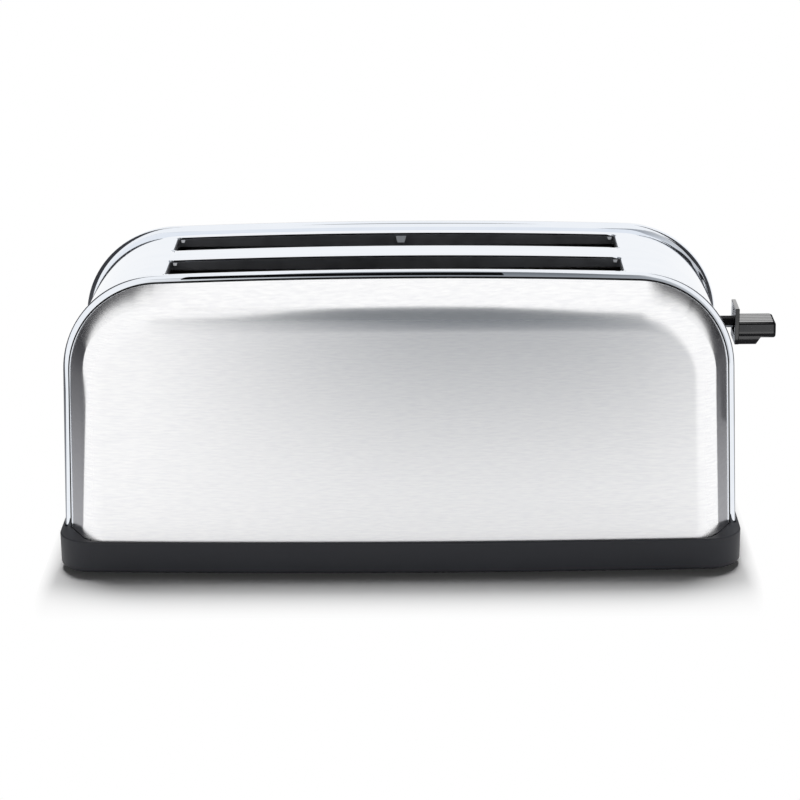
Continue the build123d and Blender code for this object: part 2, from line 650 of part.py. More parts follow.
def make_handle():
    """Lever handle: upright back plate, flat knob, sloped rib under it and a stub over the arm."""
    half = BACKPLATE_WIDTH / 2
    low, high = LEVER_Z - BACKPLATE_FALL, LEVER_Z + BACKPLATE_RISE
    knob_low = LEVER_Z - KNOB_HEIGHT / 2
    handle = block(BACKPLATE_X, KNOB_X, -half, half, low, high)
    knob = block(BACKPLATE_X, LEVER_TIP, -half, half, knob_low, knob_low + KNOB_HEIGHT)
    tip = knob.faces().sort_by(Axis.X)[-1]
    handle += fillet(tip.edges(), KNOB_EDGE_R)
    rib = make_face(
        Polyline(
            (BACKPLATE_X, low),
            (BACKPLATE_X + RIB_LENGTH, low),
            (BACKPLATE_X + RIB_LENGTH + RIB_SLOPE, knob_low),
            (BACKPLATE_X, knob_low),
            close=True,
        )
    )
    handle += extrude(Plane.XZ.offset(-half) * rib, amount=BACKPLATE_WIDTH)
    side = STUB_WIDTH / 2
    grow = (STUB_WIDTH - ARM_THICKNESS) / 2
    z0, z1 = ARM_Z - ARM_HEIGHT / 2, ARM_Z + ARM_HEIGHT / 2
    handle += block(BACKPLATE_X - STUB_LENGTH, KNOB_X, -side, side, z0 - grow / 2, z1 + grow / 2)
    half = ARM_THICKNESS / 2 + SEAT_GAP
    start = BACKPLATE_X - STUB_LENGTH
    return handle - block(start, ARM_END, -half, half, z0 - SEAT_GAP, z1 + SEAT_GAP)


def spring_path():
    """Centre line of the return spring: biarcs along a helix, with ends bent upright."""
    low = CARRIAGE_HIGH
    high = ROD_HIGH - ROD_CLIP_SHEET
    up = Vector(0, 0, 1)
    end = SPRING_HOOK_R + SPRING_TAIL
    pitch = (high - low - 2 * end) / SPRING_TURNS
    slope = pitch / (2 * pi)
    run = sqrt(SPRING_R**2 + slope**2)

    def point(turn):
        a = 2 * pi * turn
        x, y = ROD_X + SPRING_R * cos(a), SPRING_Y + SPRING_R * sin(a)
        return Vector(x, y, low + end + pitch * turn)

    def heading(turn):
        a = 2 * pi * turn
        return Vector(-SPRING_R * sin(a), SPRING_R * cos(a), slope) / run

    first, last = point(0), point(SPRING_TURNS)
    lead = SPRING_HOOK_R * sqrt((1 - slope / run) / (1 + slope / run))
    start = first - (heading(0) + up) * lead
    stop = last + (heading(SPRING_TURNS) + up) * lead
    edges = [Line(Vector(start.X, start.Y, low), start), TangentArc(start, first, tangent=up)]
    turns = [0.25 * i for i in range(4 * SPRING_TURNS + 1)]
    for a, b in zip(turns, turns[1:]):
        joint = biarc_joint(point(a), heading(a), point(b), heading(b))
        arc = TangentArc(point(a), joint, tangent=heading(a))
        edges.append(arc)
        edges.append(TangentArc(joint, point(b), tangent=arc % 1))
    edges.append(TangentArc(last, stop, tangent=heading(SPRING_TURNS)))
    edges.append(Line(stop, Vector(stop.X, stop.Y, high)))
    return edges


def biarc_joint(p, t, q, u):
    """Point where two equal-lead tangent arcs from p along t and into q along u meet."""
    v = q - p
    a = 2 * (1 - t.dot(u))
    b = 2 * v.dot(t + u)
    c = -v.dot(v)
    lead = (-b + sqrt(b * b - 4 * a * c)) / (2 * a)
    return (p + t * lead + q - u * lead) / 2


def make_spring():
    """Return spring, one unbroken wire from the carriage tab to the upper rod clip."""
    edges = spring_path()
    path = Wire(edges)
    start = edges[0] @ 0
    tube = sweep(Plane(start, z_dir=(0, 0, 1)) * Circle(SPRING_WIRE_R), path=path)
    length = sum(e.length for e in edges)
    share = tube.volume / (length * pi * SPRING_WIRE_R**2)
    points = [path @ (i / 600) for i in range(601)]
    apart = 4 * SPRING_WIRE_R + 2 * SPRING_HOOK_R
    gaps = []
    for i, p in enumerate(points):
        for j in range(i):
            if (i - j) * length / 600 > apart:
                gaps.append((p - points[j]).length)
    print("return spring: volume over section times length", round(share, 4))
    print("return spring: least gap to itself", round(min(gaps) - 2 * SPRING_WIRE_R, 2), "mm")
    return tube


def make_magnet():
    """Hold-down magnet: bobbin with winding on a steel core, on a yoke fixed to the right plate."""
    foot = MAGNET_TOP - CORE_HEIGHT
    core = rod_z(MAGNET_X, MAGNET_Y, foot, MAGNET_TOP, CORE_R)
    half = BOBBIN_R
    y0, y1 = MAGNET_Y - half, MAGNET_Y + half
    core += block(PLATE_OUT, MAGNET_X + half, y0, y1, foot - YOKE_SHEET, foot)
    core += block(PLATE_OUT, PLATE_OUT + YOKE_SHEET, y0, y1, foot - YOKE_LIP, foot)
    top = foot + BOBBIN_HEIGHT
    coil = rod_z(MAGNET_X, MAGNET_Y, foot, top, COIL_R)
    coil += rod_z(MAGNET_X, MAGNET_Y, foot, foot + BOBBIN_FLANGE, BOBBIN_R)
    coil += rod_z(MAGNET_X, MAGNET_Y, top - BOBBIN_FLANGE, top, BOBBIN_R)
    return core, coil - rod_z(MAGNET_X, MAGNET_Y, foot, top, CORE_R + SEAT_GAP)


def make_board():
    """Control board, its two grooved posts, the browning control and the three switches."""
    board = block(BOARD_X, BOARD_OUT, BOARD_LEFT, BOARD_RIGHT, BOARD_LOW, BOARD_HIGH)
    x0, x1 = BOARD_X - POST_GRIP, BOARD_OUT + POST_GRIP
    posts = []
    for edge, way in ((BOARD_LEFT, -1), (BOARD_RIGHT, 1)):
        inner = edge - way * POST_GRIP
        y0, y1 = sorted((inner, inner + way * POST_WIDTH))
        posts.append(block(x0, x1, y0, y1, FLOOR_Z, BOARD_HIGH) - board_space())
    half = POT_SIZE / 2
    pot = block(BOARD_OUT, BOARD_OUT + POT_DEPTH, -half, half, DIAL_Z - half, DIAL_Z + half)
    face = BOARD_OUT + POT_DEPTH
    pot -= rod_x(face - POT_SOCKET, face, 0, DIAL_Z, DIAL_SHAFT_R + RUN_GAP)
    switches = []
    half = SWITCH_SIZE / 2
    for z in BUTTON_ZS:
        y0, y1 = BUTTON_Y - half, BUTTON_Y + half
        switch = block(BOARD_OUT, BOARD_OUT + SWITCH_DEPTH, y0, y1, z - half, z + half)
        switches.append(switch + rod_x(BOARD_OUT, SWITCH_OUT, BUTTON_Y, z, PLUNGER_R))
    return board, posts, pot, switches


def board_space():
    """The space that the board's edges take in the posts' grooves."""
    x0, x1 = BOARD_X - SEAT_GAP, BOARD_OUT + SEAT_GAP
    y0, y1 = BOARD_LEFT - SEAT_GAP, BOARD_RIGHT + SEAT_GAP
    return block(x0, x1, y0, y1, BOARD_LOW, BOARD_HIGH)


def make_dial():
    """Browning dial with a gripped edge and a pointer groove, on its own shaft."""
    back = end_x(DIAL_Z - DIAL_R, BEAD_HEIGHT) + DIAL_GAP
    front = back + DIAL_THICKNESS
    dial = rod_x(back, front, 0, DIAL_Z, DIAL_R)
    dial = fillet(dial.edges().group_by(Axis.X)[-1], DIAL_EDGE_R)
    for i in range(DIAL_GRIPS):
        a = 2 * pi * (i + 0.5) / DIAL_GRIPS
        dial -= rod_x(back, front, DIAL_R * sin(a), DIAL_Z + DIAL_R * cos(a), DIAL_GRIP_R)
    groove = DIAL_GRIP_R
    dial -= block(front - groove, front, -groove, groove, DIAL_Z + DIAL_R / 2, DIAL_Z + DIAL_R)
    socket = BOARD_OUT + POT_DEPTH - POT_SOCKET + FIT_GAP
    return dial + rod_x(socket, back, 0, DIAL_Z, DIAL_SHAFT_R)


def make_button(z):
    """Push button: cap through the end of the cover, with a collar that keeps it in."""
    inside = end_x(z + BUTTON_R + BUTTON_COLLAR, RECESS) - FIT_GAP
    front = end_x(z, BEAD_HEIGHT) + BUTTON_PROUD
    back = SWITCH_OUT + BUTTON_TRAVEL + RUN_GAP
    button = rod_x(back, front, BUTTON_Y, z, BUTTON_R)
    button = fillet(button.edges().group_by(Axis.X)[-1], BUTTON_R / 6)
    collar = BUTTON_R + BUTTON_COLLAR
    return button + rod_x(inside - BUTTON_COLLAR_THICKNESS, inside, BUTTON_Y, z, collar)


def make_contacts():
    """Mains contact block on the right plate with two pairs of brass blades."""
    low = CHASSIS_FOOT + CONTACT_LIFT
    half = CONTACT_BLOCK / 2
    y0, y1 = CONTACT_Y - half, CONTACT_Y + half
    carrier = block(PLATE_OUT, PLATE_OUT + 2 * CONTACT_BLOCK, y0, y1, low, low + CONTACT_BLOCK)
    blades = []
    step = 2 * CONTACT_BLOCK / 5
    for i in range(4):
        x = PLATE_OUT + (i + 1) * step
        y0, y1 = CONTACT_Y - BLADE_WIDTH / 2, CONTACT_Y + BLADE_WIDTH / 2
        top = low + CONTACT_BLOCK + BLADE_LENGTH
        blade = block(x, x + BLADE_THICKNESS, y0, y1, low + CONTACT_BLOCK / 2, top)
        z = top - BLADE_WIDTH / 2
        tip = rod_x(x - BLADE_THICKNESS, x + 2 * BLADE_THICKNESS, CONTACT_Y, z, BLADE_WIDTH / 4)
        blades.append(blade + tip)
        carrier -= block(x, x + BLADE_THICKNESS, y0, y1, low + CONTACT_BLOCK / 2, top)
    return carrier, blades


def make_tray():
    """Crumb tray and its pull, which closes the mouth in the left end of the base."""
    face = -HALF_LENGTH
    back = face + TRAY_PULL_THICKNESS
    half = TRAY_HALF_WIDTH
    tray = block(back, TRAY_RIGHT, -half, half, TRAY_LOW, TRAY_HIGH)
    inner = half - TRAY_SHEET
    x0, x1 = back + TRAY_SHEET, TRAY_RIGHT - TRAY_SHEET
    tray -= block(x0, x1, -inner, inner, TRAY_LOW + TRAY_SHEET, TRAY_HIGH)
    pull = block(face, back, -half, half, TRAY_LOW, TRAY_HIGH)
    centre = face - TRAY_SCOOP_R + TRAY_PULL_THICKNESS / 2
    scoop = rod_z(centre, 0, TRAY_LOW, TRAY_LOW + TRAY_SCOOP_HEIGHT, TRAY_SCOOP_R)
    return tray, pull - scoop


def make_gland():
    """Cord gland: a flanged bush through the rear wall of the base."""
    face = gland_face()
    flange = face + GLAND_FLANGE_THICKNESS
    inner = face - BASE_WALL - GLAND_TAIL
    gland = rod_y(GLAND_X, inner, flange, GLAND_Z, GLAND_R)
    gland += rod_y(GLAND_X, face, flange, GLAND_Z, GLAND_R + GLAND_FLANGE)
    return gland - rod_y(GLAND_X, inner, flange, GLAND_Z, GLAND_BORE_R)


def make_terminals():
    """Terminal block on the base floor, with three clamp holes."""
    wall = BASE_DEPTH / 2 - TERMINAL_FROM_WALL
    middle = GLAND_X + TERMINAL_FROM_GLAND
    x0, x1 = middle - TERMINAL_LENGTH / 2, middle + TERMINAL_LENGTH / 2
    high = FLOOR_Z + TERMINAL_HEIGHT
    part = block(x0, x1, wall - TERMINAL_WIDTH, wall, FLOOR_Z, high)
    for i in (-1, 0, 1):
        x = middle + i * TERMINAL_LENGTH / 3
        part -= rod_z(x, wall - TERMINAL_WIDTH / 2, FLOOR_Z + TERMINAL_HEIGHT / 2, high, SCREW_R)
    return part


def make_screws():
    """Four pan-head screws that hold the chassis feet to the base bosses."""
    seat = CHASSIS_FOOT + PLATE_SHEET
    screws = []
    for x, y in boss_places():
        head = rod_z(x, y, seat, seat + SCREW_HEAD, SCREW_HEAD_R)
        head = fillet(head.edges().group_by(Axis.Z)[-1], SCREW_HEAD / 2)
        cut = SCREW_R / 4
        z = seat + SCREW_HEAD / 2
        head -= block(x - SCREW_HEAD_R, x + SCREW_HEAD_R, y - cut, y + cut, z, seat + SCREW_HEAD)
        screws.append(head + rod_z(x, y, seat - SCREW_LENGTH, seat, SCREW_R))
    return screws


def build_pieces():
    """Every piece of the toaster by name."""
    panel = make_panel()
    plates = make_plates()
    magnet = make_magnet()
    board, posts, pot, switches = make_board()
    contact_block, blades = make_contacts()
    tray, pull = make_tray()
    return {
        "base": make_base(),
        "rubber_feet": make_feet(),
        "front_panel": panel,
        "rear_panel": mirror(panel, about=Plane.XZ),
        "top_cover": make_cover(),
        "left_chassis_plate": plates[0],
        "right_chassis_plate": plates[1],
        "front_heat_shield": make_shield(-1),
        "rear_heat_shield": make_shield(1),
        "front_mica_card": make_card(-CARD_Y),
        "centre_mica_card": make_card(0),
        "rear_mica_card": make_card(CARD_Y),
        "front_heating_ribbon": make_ribbon(-CARD_Y, 1),
        "centre_heating_ribbons": [make_ribbon(0, -1), make_ribbon(0, 1)],
        "rear_heating_ribbon": make_ribbon(CARD_Y, -1),
        "front_slot_outer_guard": make_guard(-SLOT_Y, -1),
        "front_slot_inner_guard": make_guard(-SLOT_Y, 1),
        "rear_slot_inner_guard": make_guard(SLOT_Y, -1),
        "rear_slot_outer_guard": make_guard(SLOT_Y, 1),
        "front_lift_rail": make_lift_rail(-SLOT_Y),
        "rear_lift_rail": make_lift_rail(SLOT_Y),
        "carriage_bracket": make_carriage(),
        "armature_plate": make_armature(),
        "slider_bush": make_bush(),
        "guide_rod": rod_z(ROD_X, 0, ROD_LOW - ROD_TAIL, ROD_HIGH + ROD_TAIL, ROD_R),
        "guide_rod_clips": make_rod_clips(),
        "lever_arm": make_arm(),
        "lever_handle": make_handle(),
        "return_spring": make_spring(),
        "magnet_core": magnet[0],
        "magnet_coil": magnet[1],
        "control_board": board,
        "board_posts": posts,
        "browning_control": pot,
        "button_switches": switches,
        "browning_dial": make_dial(),
        "cancel_button": make_button(BUTTON_ZS[0]),
        "reheat_button": make_button(BUTTON_ZS[1]),
        "defrost_button": make_button(BUTTON_ZS[2]),
        "contact_block": contact_block,
        "contact_blades": blades,
        "crumb_tray": tray,
        "crumb_tray_pull": pull,
        "cord_gland": make_gland(),
        "terminal_block": make_terminals(),
        "chassis_screws": make_screws(),
    }


os.makedirs("parts", exist_ok=True)
pieces = {}
for name, made in build_pieces().items():
    solids = made if isinstance(made, list) else [made]
    moved = [Pos(X_SHIFT, 0, 0) * solid for solid in solids]
    pieces[name] = moved[0] if len(moved) == 1 else Compound(children=moved)
    export_step(pieces[name], f"parts/{name}.step")
print(len(pieces), "pieces written, shifted by", round(X_SHIFT, 3), "mm along X")
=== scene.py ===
# %% [markdown]
# # A long two-slot pop-up toaster
# The toaster is a polished steel cover bent over the top and both ends, two brushed steel panels
# drawn into shallow dishes, and a black moulded base. The imported CAD model is loaded first and
# stays where it is. The skins that catch the light are modelled again here as finer meshes, since
# long flat triangles would show in a mirror finish. Every other piece gets a finish of its own.

# %% Frame, units and a way to measure parts
from math import atan2, cos, pi, radians, sin, sqrt, tan

import bmesh
import bpy
from mathutils import Matrix, Quaternion, Vector


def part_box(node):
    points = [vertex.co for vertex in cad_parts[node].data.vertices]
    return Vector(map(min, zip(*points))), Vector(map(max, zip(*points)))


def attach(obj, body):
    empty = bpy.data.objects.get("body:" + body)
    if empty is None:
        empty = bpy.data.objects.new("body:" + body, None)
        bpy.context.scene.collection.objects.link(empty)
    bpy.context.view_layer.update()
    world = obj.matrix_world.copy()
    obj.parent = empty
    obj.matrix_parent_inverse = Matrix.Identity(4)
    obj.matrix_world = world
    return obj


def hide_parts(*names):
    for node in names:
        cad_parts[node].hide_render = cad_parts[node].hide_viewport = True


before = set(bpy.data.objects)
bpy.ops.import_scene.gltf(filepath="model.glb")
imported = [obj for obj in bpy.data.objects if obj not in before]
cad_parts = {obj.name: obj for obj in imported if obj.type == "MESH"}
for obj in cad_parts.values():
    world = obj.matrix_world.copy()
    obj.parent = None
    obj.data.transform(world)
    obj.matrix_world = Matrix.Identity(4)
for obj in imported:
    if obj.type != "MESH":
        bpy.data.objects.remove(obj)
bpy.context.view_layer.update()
MM = 0.001

# %% [markdown]
# ## The camera
# The photograph looks at the long side from a little above, through a long lens that keeps the ends
# nearly parallel. Place, heading, pitch and a slight roll were found by fitting the corners of the
# base and of the slots, so the render can be laid over the photograph.

# %% Camera
CAMERA_PLACE = Vector((9.9, -1447.5, 556.6)) * MM
CAMERA_HEADING = radians(0.857)
CAMERA_PITCH = radians(18.315)
CAMERA_ROLL = radians(-0.638)
LENS_MM = 117.2

camera = bpy.data.objects.new("camera", bpy.data.cameras.new("camera"))
bpy.context.scene.collection.objects.link(camera)
bpy.context.scene.camera = camera
camera.data.lens = LENS_MM
ahead = Vector((-sin(CAMERA_HEADING), cos(CAMERA_HEADING), -tan(CAMERA_PITCH)))
camera.location = CAMERA_PLACE
camera.rotation_mode = "QUATERNION"
camera.rotation_quaternion = ahead.to_track_quat("-Z", "Y") @ Quaternion((0, 0, 1), CAMERA_ROLL)
print("camera", round(CAMERA_PLACE.length, 3), "m from the origin")

# %% [markdown]
# ## How a finish is made
# A finish is a small node tree. One function adds a node of any kind with its settings and inputs,
# one turns a hex colour into the linear values that the shader wants, one gives a pattern's scale
# from the size that a grain or a scratch has in millimetres, and one starts a new material.


# %% Helpers for finishes
def srgb(code):
    """Linear colour, with alpha, of a hex value such as #2f3034."""
    parts = [int(code[i : i + 2], 16) / 255 for i in (1, 3, 5)]
    return tuple(p / 12.92 if p <= 0.04045 else ((p + 0.055) / 1.055) ** 2.4 for p in parts) + (1,)


def per(size):
    """Repeats in a metre of something that many millimetres long."""
    return 1 / (size * MM)


def add(tree, kind, inputs=None, **settings):
    """One shader node; an input is a plain value, a socket, or a node for its first output."""
    node = tree.nodes.new("ShaderNode" + kind)
    for name, value in settings.items():
        setattr(node, name, value)
    for name, value in (inputs or {}).items():
        if isinstance(value, bpy.types.Node):
            value = value.outputs[0]
        if isinstance(value, bpy.types.NodeSocket):
            tree.links.new(value, node.inputs[name])
        else:
            node.inputs[name].default_value = value
    return node


def new_material(name):
    """A material, its node tree and the coordinates of a point on the object."""
    material = bpy.data.materials.new(name)
    material.use_nodes = True
    tree = material.node_tree
    tree.nodes.clear()
    return material, tree, add(tree, "TexCoord").outputs["Object"]


print("mid grey #808080 is", round(srgb("#808080")[0], 3), "in linear light")

# %% [markdown]
# ## Steel
# The panels are stainless sheet, brushed along its length before it is drawn: the scratches spread
# a reflection upwards and downwards but hardly sideways. They are too fine to model, so the
# anisotropic value gives that spread, with its tangent taken across them from a UV map, and noise
# drawn out along the sheet gives the streaks. The drawing die has rubbed the panel's flank
# smoother, which an attribute of the mesh tells the finish. The cover is the same steel, polished
# until it mirrors the room. A faint haze and a slight waviness of the sheet tell it from glass.

# %% Brushed and polished stainless
# Length and height in millimetres, and detail, of the patterns that the brushing belt leaves. Real
# scratches are about 0.05 mm wide; they are drawn at 0.4 mm to show in the render. They lie in
# short bundles, and the belt pressed unevenly over wider patches.
BRUSH = {"scratch": (70, 0.4, 2.0), "bundle": (7, 0.9, 3.0), "patch": (150, 7, 2.0)}
SCRATCH_DEPTH = 0.006 * MM
BUNDLE_DEPTH = 0.009 * MM
SHEET_WAVE = 0.15 * MM


def brushed_stainless():
    """Brushed stainless sheet: soft reflections drawn out upright, with fine level streaks."""
    finish, tree, place = new_material("brushed_stainless")
    mark = {}
    for name, (length, height, detail) in BRUSH.items():
        size = {"Vector": place, "Scale": (per(length), per(length), per(height))}
        streak = add(tree, "Mapping", size)
        pattern = {"Vector": streak, "Scale": 1.0, "Detail": detail}
        mark[name] = add(tree, "TexNoise", pattern)
    contrast = {"Value": mark["bundle"], "From Min": 0.3, "From Max": 0.7}
    shade = add(tree, "MapRange", contrast)
    tones = {0: shade, 6: srgb("#f6f6f8"), 7: srgb("#ffffff")}
    colour = add(tree, "Mix", tones, data_type="RGBA")
    spread = {"Value": mark["patch"], "To Min": 0.28, "To Max": 0.32}
    rough = add(tree, "MapRange", spread)
    drawn = add(tree, "Attribute", attribute_name="drawn")
    ease = {"Value": drawn.outputs["Fac"], "To Min": 1.0, "To Max": 0.5}
    smooth = add(tree, "MapRange", ease)
    eased = {0: rough, 1: smooth}
    brushed = add(tree, "Math", eased, operation="MULTIPLY")
    swell = add(tree, "Bump", {"Height": mark["bundle"], "Distance": BUNDLE_DEPTH})
    cut = {"Height": mark["scratch"], "Distance": SCRATCH_DEPTH, "Normal": swell}
    bump = add(tree, "Bump", cut)
    across = add(tree, "Tangent", direction_type="UV_MAP", uv_map="across_brush")
    surface = {
        "Metallic": 1.0,
        "Anisotropic": 0.75,
        "Base Color": colour.outputs[2],
        "Roughness": brushed,
        "Normal": bump,
        "Tangent": across,
    }
    shader = add(tree, "BsdfPrincipled", surface)
    add(tree, "OutputMaterial", {"Surface": shader})
    return finish


def polished_stainless():
    """Mirror-polished stainless: a sharp, slightly wavy reflection, hazed by the buffing wheel."""
    finish, tree, place = new_material("polished_stainless")
    haze = add(tree, "Mapping", {"Vector": place, "Scale": (per(30), per(9), per(9))})
    buff = add(tree, "TexNoise", {"Vector": haze, "Scale": 1.0, "Detail": 4.0})
    wave = add(tree, "TexNoise", {"Vector": place, "Scale": per(55), "Detail": 0.0})
    tones = {0: buff, 6: srgb("#e9eef5"), 7: srgb("#f1f4f9")}
    colour = add(tree, "Mix", tones, data_type="RGBA")
    spread = {"Value": buff, "To Min": 0.03, "To Max": 0.07}
    rough = add(tree, "MapRange", spread)
    bump = add(tree, "Bump", {"Height": wave, "Distance": SHEET_WAVE})
    tone = colour.outputs[2]
    surface = {"Metallic": 1.0, "Base Color": tone, "Roughness": rough, "Normal": bump}
    shader = add(tree, "BsdfPrincipled", surface)
    add(tree, "OutputMaterial", {"Surface": shader})
    return finish


panel_finish = brushed_stainless()
cover_finish = polished_stainless()
print("made", panel_finish.name, "and", cover_finish.name)

# %% [markdown]
# ## The upright outline of the body
# Cover and panels share one outline: straight ends that lean in by two degrees, round shoulders and
# a top with a slight crown. It could be a curve object, but a vertex spun about the centre of each
# arc keeps the arcs round and the points in order. Every vertex of the wire remembers its place and
# the direction straight out of the outline, so that a ring of any inset can be drawn from it.

# %% Sizes of the outline
LEAN = radians(2)
SHOULDER_R = 56 * MM
CROWN_R = 4000 * MM
SHOULDER_STEPS = 28
CROWN_STEPS = 44
FIT_ROUNDS = 12
cover_low, cover_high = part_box("top_cover")
MIDDLE = (cover_low.x + cover_high.x) / 2
FOOT_HALF = (cover_high.x - cover_low.x) / 2
FOOT_Z = cover_low.z
TOP_Z = cover_high.z
CROWN_Z = TOP_Z - CROWN_R


def shoulder_centre():
    """Centre of the right shoulder's arc, measured from the middle of the body."""
    z = TOP_Z - SHOULDER_R
    for _ in range(FIT_ROUNDS):
        x = FOOT_HALF - (SHOULDER_R + (z - FOOT_Z) * sin(LEAN)) / cos(LEAN)
        z = CROWN_Z + sqrt((CROWN_R - SHOULDER_R) ** 2 - x**2)
    return x, z


SHOULDER_X, SHOULDER_Z = shoulder_centre()
CROWN_START = atan2(SHOULDER_Z - CROWN_Z, SHOULDER_X)
print("shoulder arc centred", round(SHOULDER_X / MM, 2), round(SHOULDER_Z / MM, 2), "mm")


# %% The outline as a spun wire
def outward(place):
    """Direction straight out of the body at a point of its outline."""
    side = 1 if place.x > MIDDLE else -1
    angle = atan2(place.z - SHOULDER_Z, abs(place.x - MIDDLE) - SHOULDER_X)
    if angle > CROWN_START:
        return (place - Vector((MIDDLE, place.y, CROWN_Z))).normalized()
    angle = max(angle, LEAN)
    return Vector((side * cos(angle), 0, sin(angle)))


def body_wire(bm):
    """Wire of the outermost outline, from the right foot over the top to the left foot."""
    rim = bm.verts.layers.float_vector.new("rim")
    out = bm.verts.layers.float_vector.new("out")
    first = bm.verts.new((MIDDLE + FOOT_HALF, 0, FOOT_Z))
    start = Vector((SHOULDER_X + SHOULDER_R * cos(LEAN), 0, SHOULDER_Z + SHOULDER_R * sin(LEAN)))
    tip = bm.verts.new((MIDDLE + start.x, 0, start.z))
    bm.edges.new((first, tip))
    arcs = [
        (MIDDLE + SHOULDER_X, SHOULDER_Z, CROWN_START - LEAN, SHOULDER_STEPS),
        (MIDDLE, CROWN_Z, pi - 2 * CROWN_START, CROWN_STEPS),
        (MIDDLE - SHOULDER_X, SHOULDER_Z, CROWN_START - LEAN, SHOULDER_STEPS),
    ]
    for x, z, angle, steps in arcs:
        spun = bmesh.ops.spin(
            bm, geom=[tip], cent=(x, 0, z), axis=(0, -1, 0), angle=angle, steps=steps
        )
        tip = next(g for g in spun["geom_last"] if isinstance(g, bmesh.types.BMVert))
    last = bm.verts.new((MIDDLE - FOOT_HALF, 0, FOOT_Z))
    bm.edges.new((tip, last))
    for vert in bm.verts:
        vert[rim] = vert.co
        vert[out] = outward(vert.co)
    return list(bm.edges)


print("the wire has", 2 * SHOULDER_STEPS + CROWN_STEPS + 2, "edges")


# %% Rings, sections and rounded edges
def draw_in(bm, verts, inset, y):
    """Moves vertices of the wire to a place inside the outline."""
    rim = bm.verts.layers.float_vector["rim"]
    out = bm.verts.layers.float_vector["out"]
    for vert in verts:
        vert.co = vert[rim] - vert[out] * inset
        vert.co.y = y
        vert.co.z = max(vert.co.z, FOOT_Z)


def next_ring(bm, edges):
    """Extrudes a wire and gives the new edges and vertices."""
    made = bmesh.ops.extrude_edge_only(bm, edges=edges)["geom"]
    verts = {g for g in made if isinstance(g, bmesh.types.BMVert)}
    ring = [g for g in made if isinstance(g, bmesh.types.BMEdge) and set(g.verts) <= verts]
    return ring, verts


def turn_faces(bm, towards):
    """Makes the faces of a skin agree and look the way that is given for a place on it."""
    bmesh.ops.recalc_face_normals(bm, faces=bm.faces)
    looks = [f.normal.dot(towards(f.calc_center_median())) * f.calc_area() for f in bm.faces]
    if sum(looks) < 0:
        bmesh.ops.reverse_faces(bm, faces=bm.faces)


def bevel(bm, parts, affect, width, steps, clamp=False):
    """Rounds edges or vertices of a mesh."""
    bmesh.ops.bevel(
        bm,
        geom=parts,
        affect=affect,
        offset=width,
        segments=steps,
        profile=0.5,
        material=-1,
        clamp_overlap=clamp,
    )


def round_corners(points, radii, steps):
    """A run of 2-D points with its inner corners rounded to the given radii."""
    line = [Vector(points[0])]
    for i, radius in enumerate(radii, 1):
        here = Vector(points[i])
        back = (Vector(points[i - 1]) - here).normalized()
        on = (Vector(points[i + 1]) - here).normalized()
        half = back.angle(on, pi) / 2
        if not radius:
            line.append(here)
            continue
        centre = here + (back + on).normalized() * (radius / sin(half))
        start = here + back * (radius / tan(half)) - centre
        stop = here + on * (radius / tan(half)) - centre
        turn = start.angle_signed(stop)
        for step in range(steps + 1):
            line.append(centre + Matrix.Rotation(-turn * step / steps, 2) @ start)
    line.append(Vector(points[-1]))
    return line


elbow = round_corners([(0, 0), (1, 0), (1, 1)], [0.5], 4)
print("an elbow rounded in 4 steps has", len(elbow), "points")

# %% [markdown]
# ## Turning a bmesh into a piece
# A finished bmesh becomes an object at the origin with its place in its mesh and one finish. What
# its modifiers give is kept as that mesh, so that the piece is plain geometry. It rides on one of
# the CAD bodies and may stand for a CAD node, which is then hidden.

# %% Helpers for pieces
SHARP = radians(32)


def link_mesh(bm, name, finish):
    """Links a bmesh to the scene as an object at the origin with one finish."""
    mesh = bpy.data.meshes.new(name)
    bm.to_mesh(mesh)
    bm.free()
    mesh.materials.append(finish)
    thing = bpy.data.objects.new(name, mesh)
    bpy.context.scene.collection.objects.link(thing)
    return thing


def apply_modifier(piece, kind, **settings):
    """Makes what a modifier gives the piece's own mesh."""
    modifier = piece.modifiers.new(kind.lower(), kind)
    for name, value in settings.items():
        setattr(modifier, name, value)
    shown = piece.evaluated_get(bpy.context.evaluated_depsgraph_get())
    mesh = bpy.data.meshes.new_from_object(shown)
    piece.modifiers.clear()
    mesh.name = piece.name
    piece.data = mesh


def finish_piece(bm, name, finish, body, stands_for=(), sheet=0, moulded=False):
    """Makes a bmesh a piece that rides on a body, smooth but for its sharp edges."""
    piece = link_mesh(bm, name, finish)
    if sheet:
        # The sheet's thickness lies behind the side that shows.
        apply_modifier(piece, "SOLIDIFY", thickness=sheet, offset=-1)
    piece.data.shade_smooth()
    piece.data.set_sharp_from_angle(angle=SHARP)
    if moulded:
        # Flat faces shade flat beside their rounded edges.
        apply_modifier(piece, "WEIGHTED_NORMAL", keep_sharp=True)
    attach(piece, body)
    if stands_for:
        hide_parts(*stands_for)
    print(name, "has", len(piece.data.polygons), "faces")


print("edges over", round(SHARP * 180 / pi), "degrees stay sharp")

# %% [markdown]
# ## The brushed panels
# Each panel is a drawn dish: a narrow flange behind the rim, a flank that slopes in, a wide bend
# and a face that bows out a little towards the middle. A grid pushed into that form would blur its
# rim, so the outline is extruded ring by ring along the section. The last ring is closed by one
# face, which is cut into upright strips so that it can follow the bow.

# %% Section and bow of a panel
SEAM_STEP = 3.3 * MM
PANEL_FLANGE = 5 * MM
RIM_R = 0.9 * MM
FLANK_SLOPE = 11.2 / 21.5
PANEL_BEND_R = 16 * MM
BEND_STEPS = 14
BEND_DEPTH = 8 * MM
FACE_BULGE = 4.6 * MM
SHEET = 0.8 * MM
STRIP_TOLERANCE = 2e-6
panel_low, panel_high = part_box("front_panel")
base_low, base_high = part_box("base")
HALF_LENGTH = (base_high.x - base_low.x) / 2
FACE_R = (HALF_LENGTH**2 + FACE_BULGE**2) / (2 * FACE_BULGE)
FACE_DEPTH = panel_high.y - panel_low.y


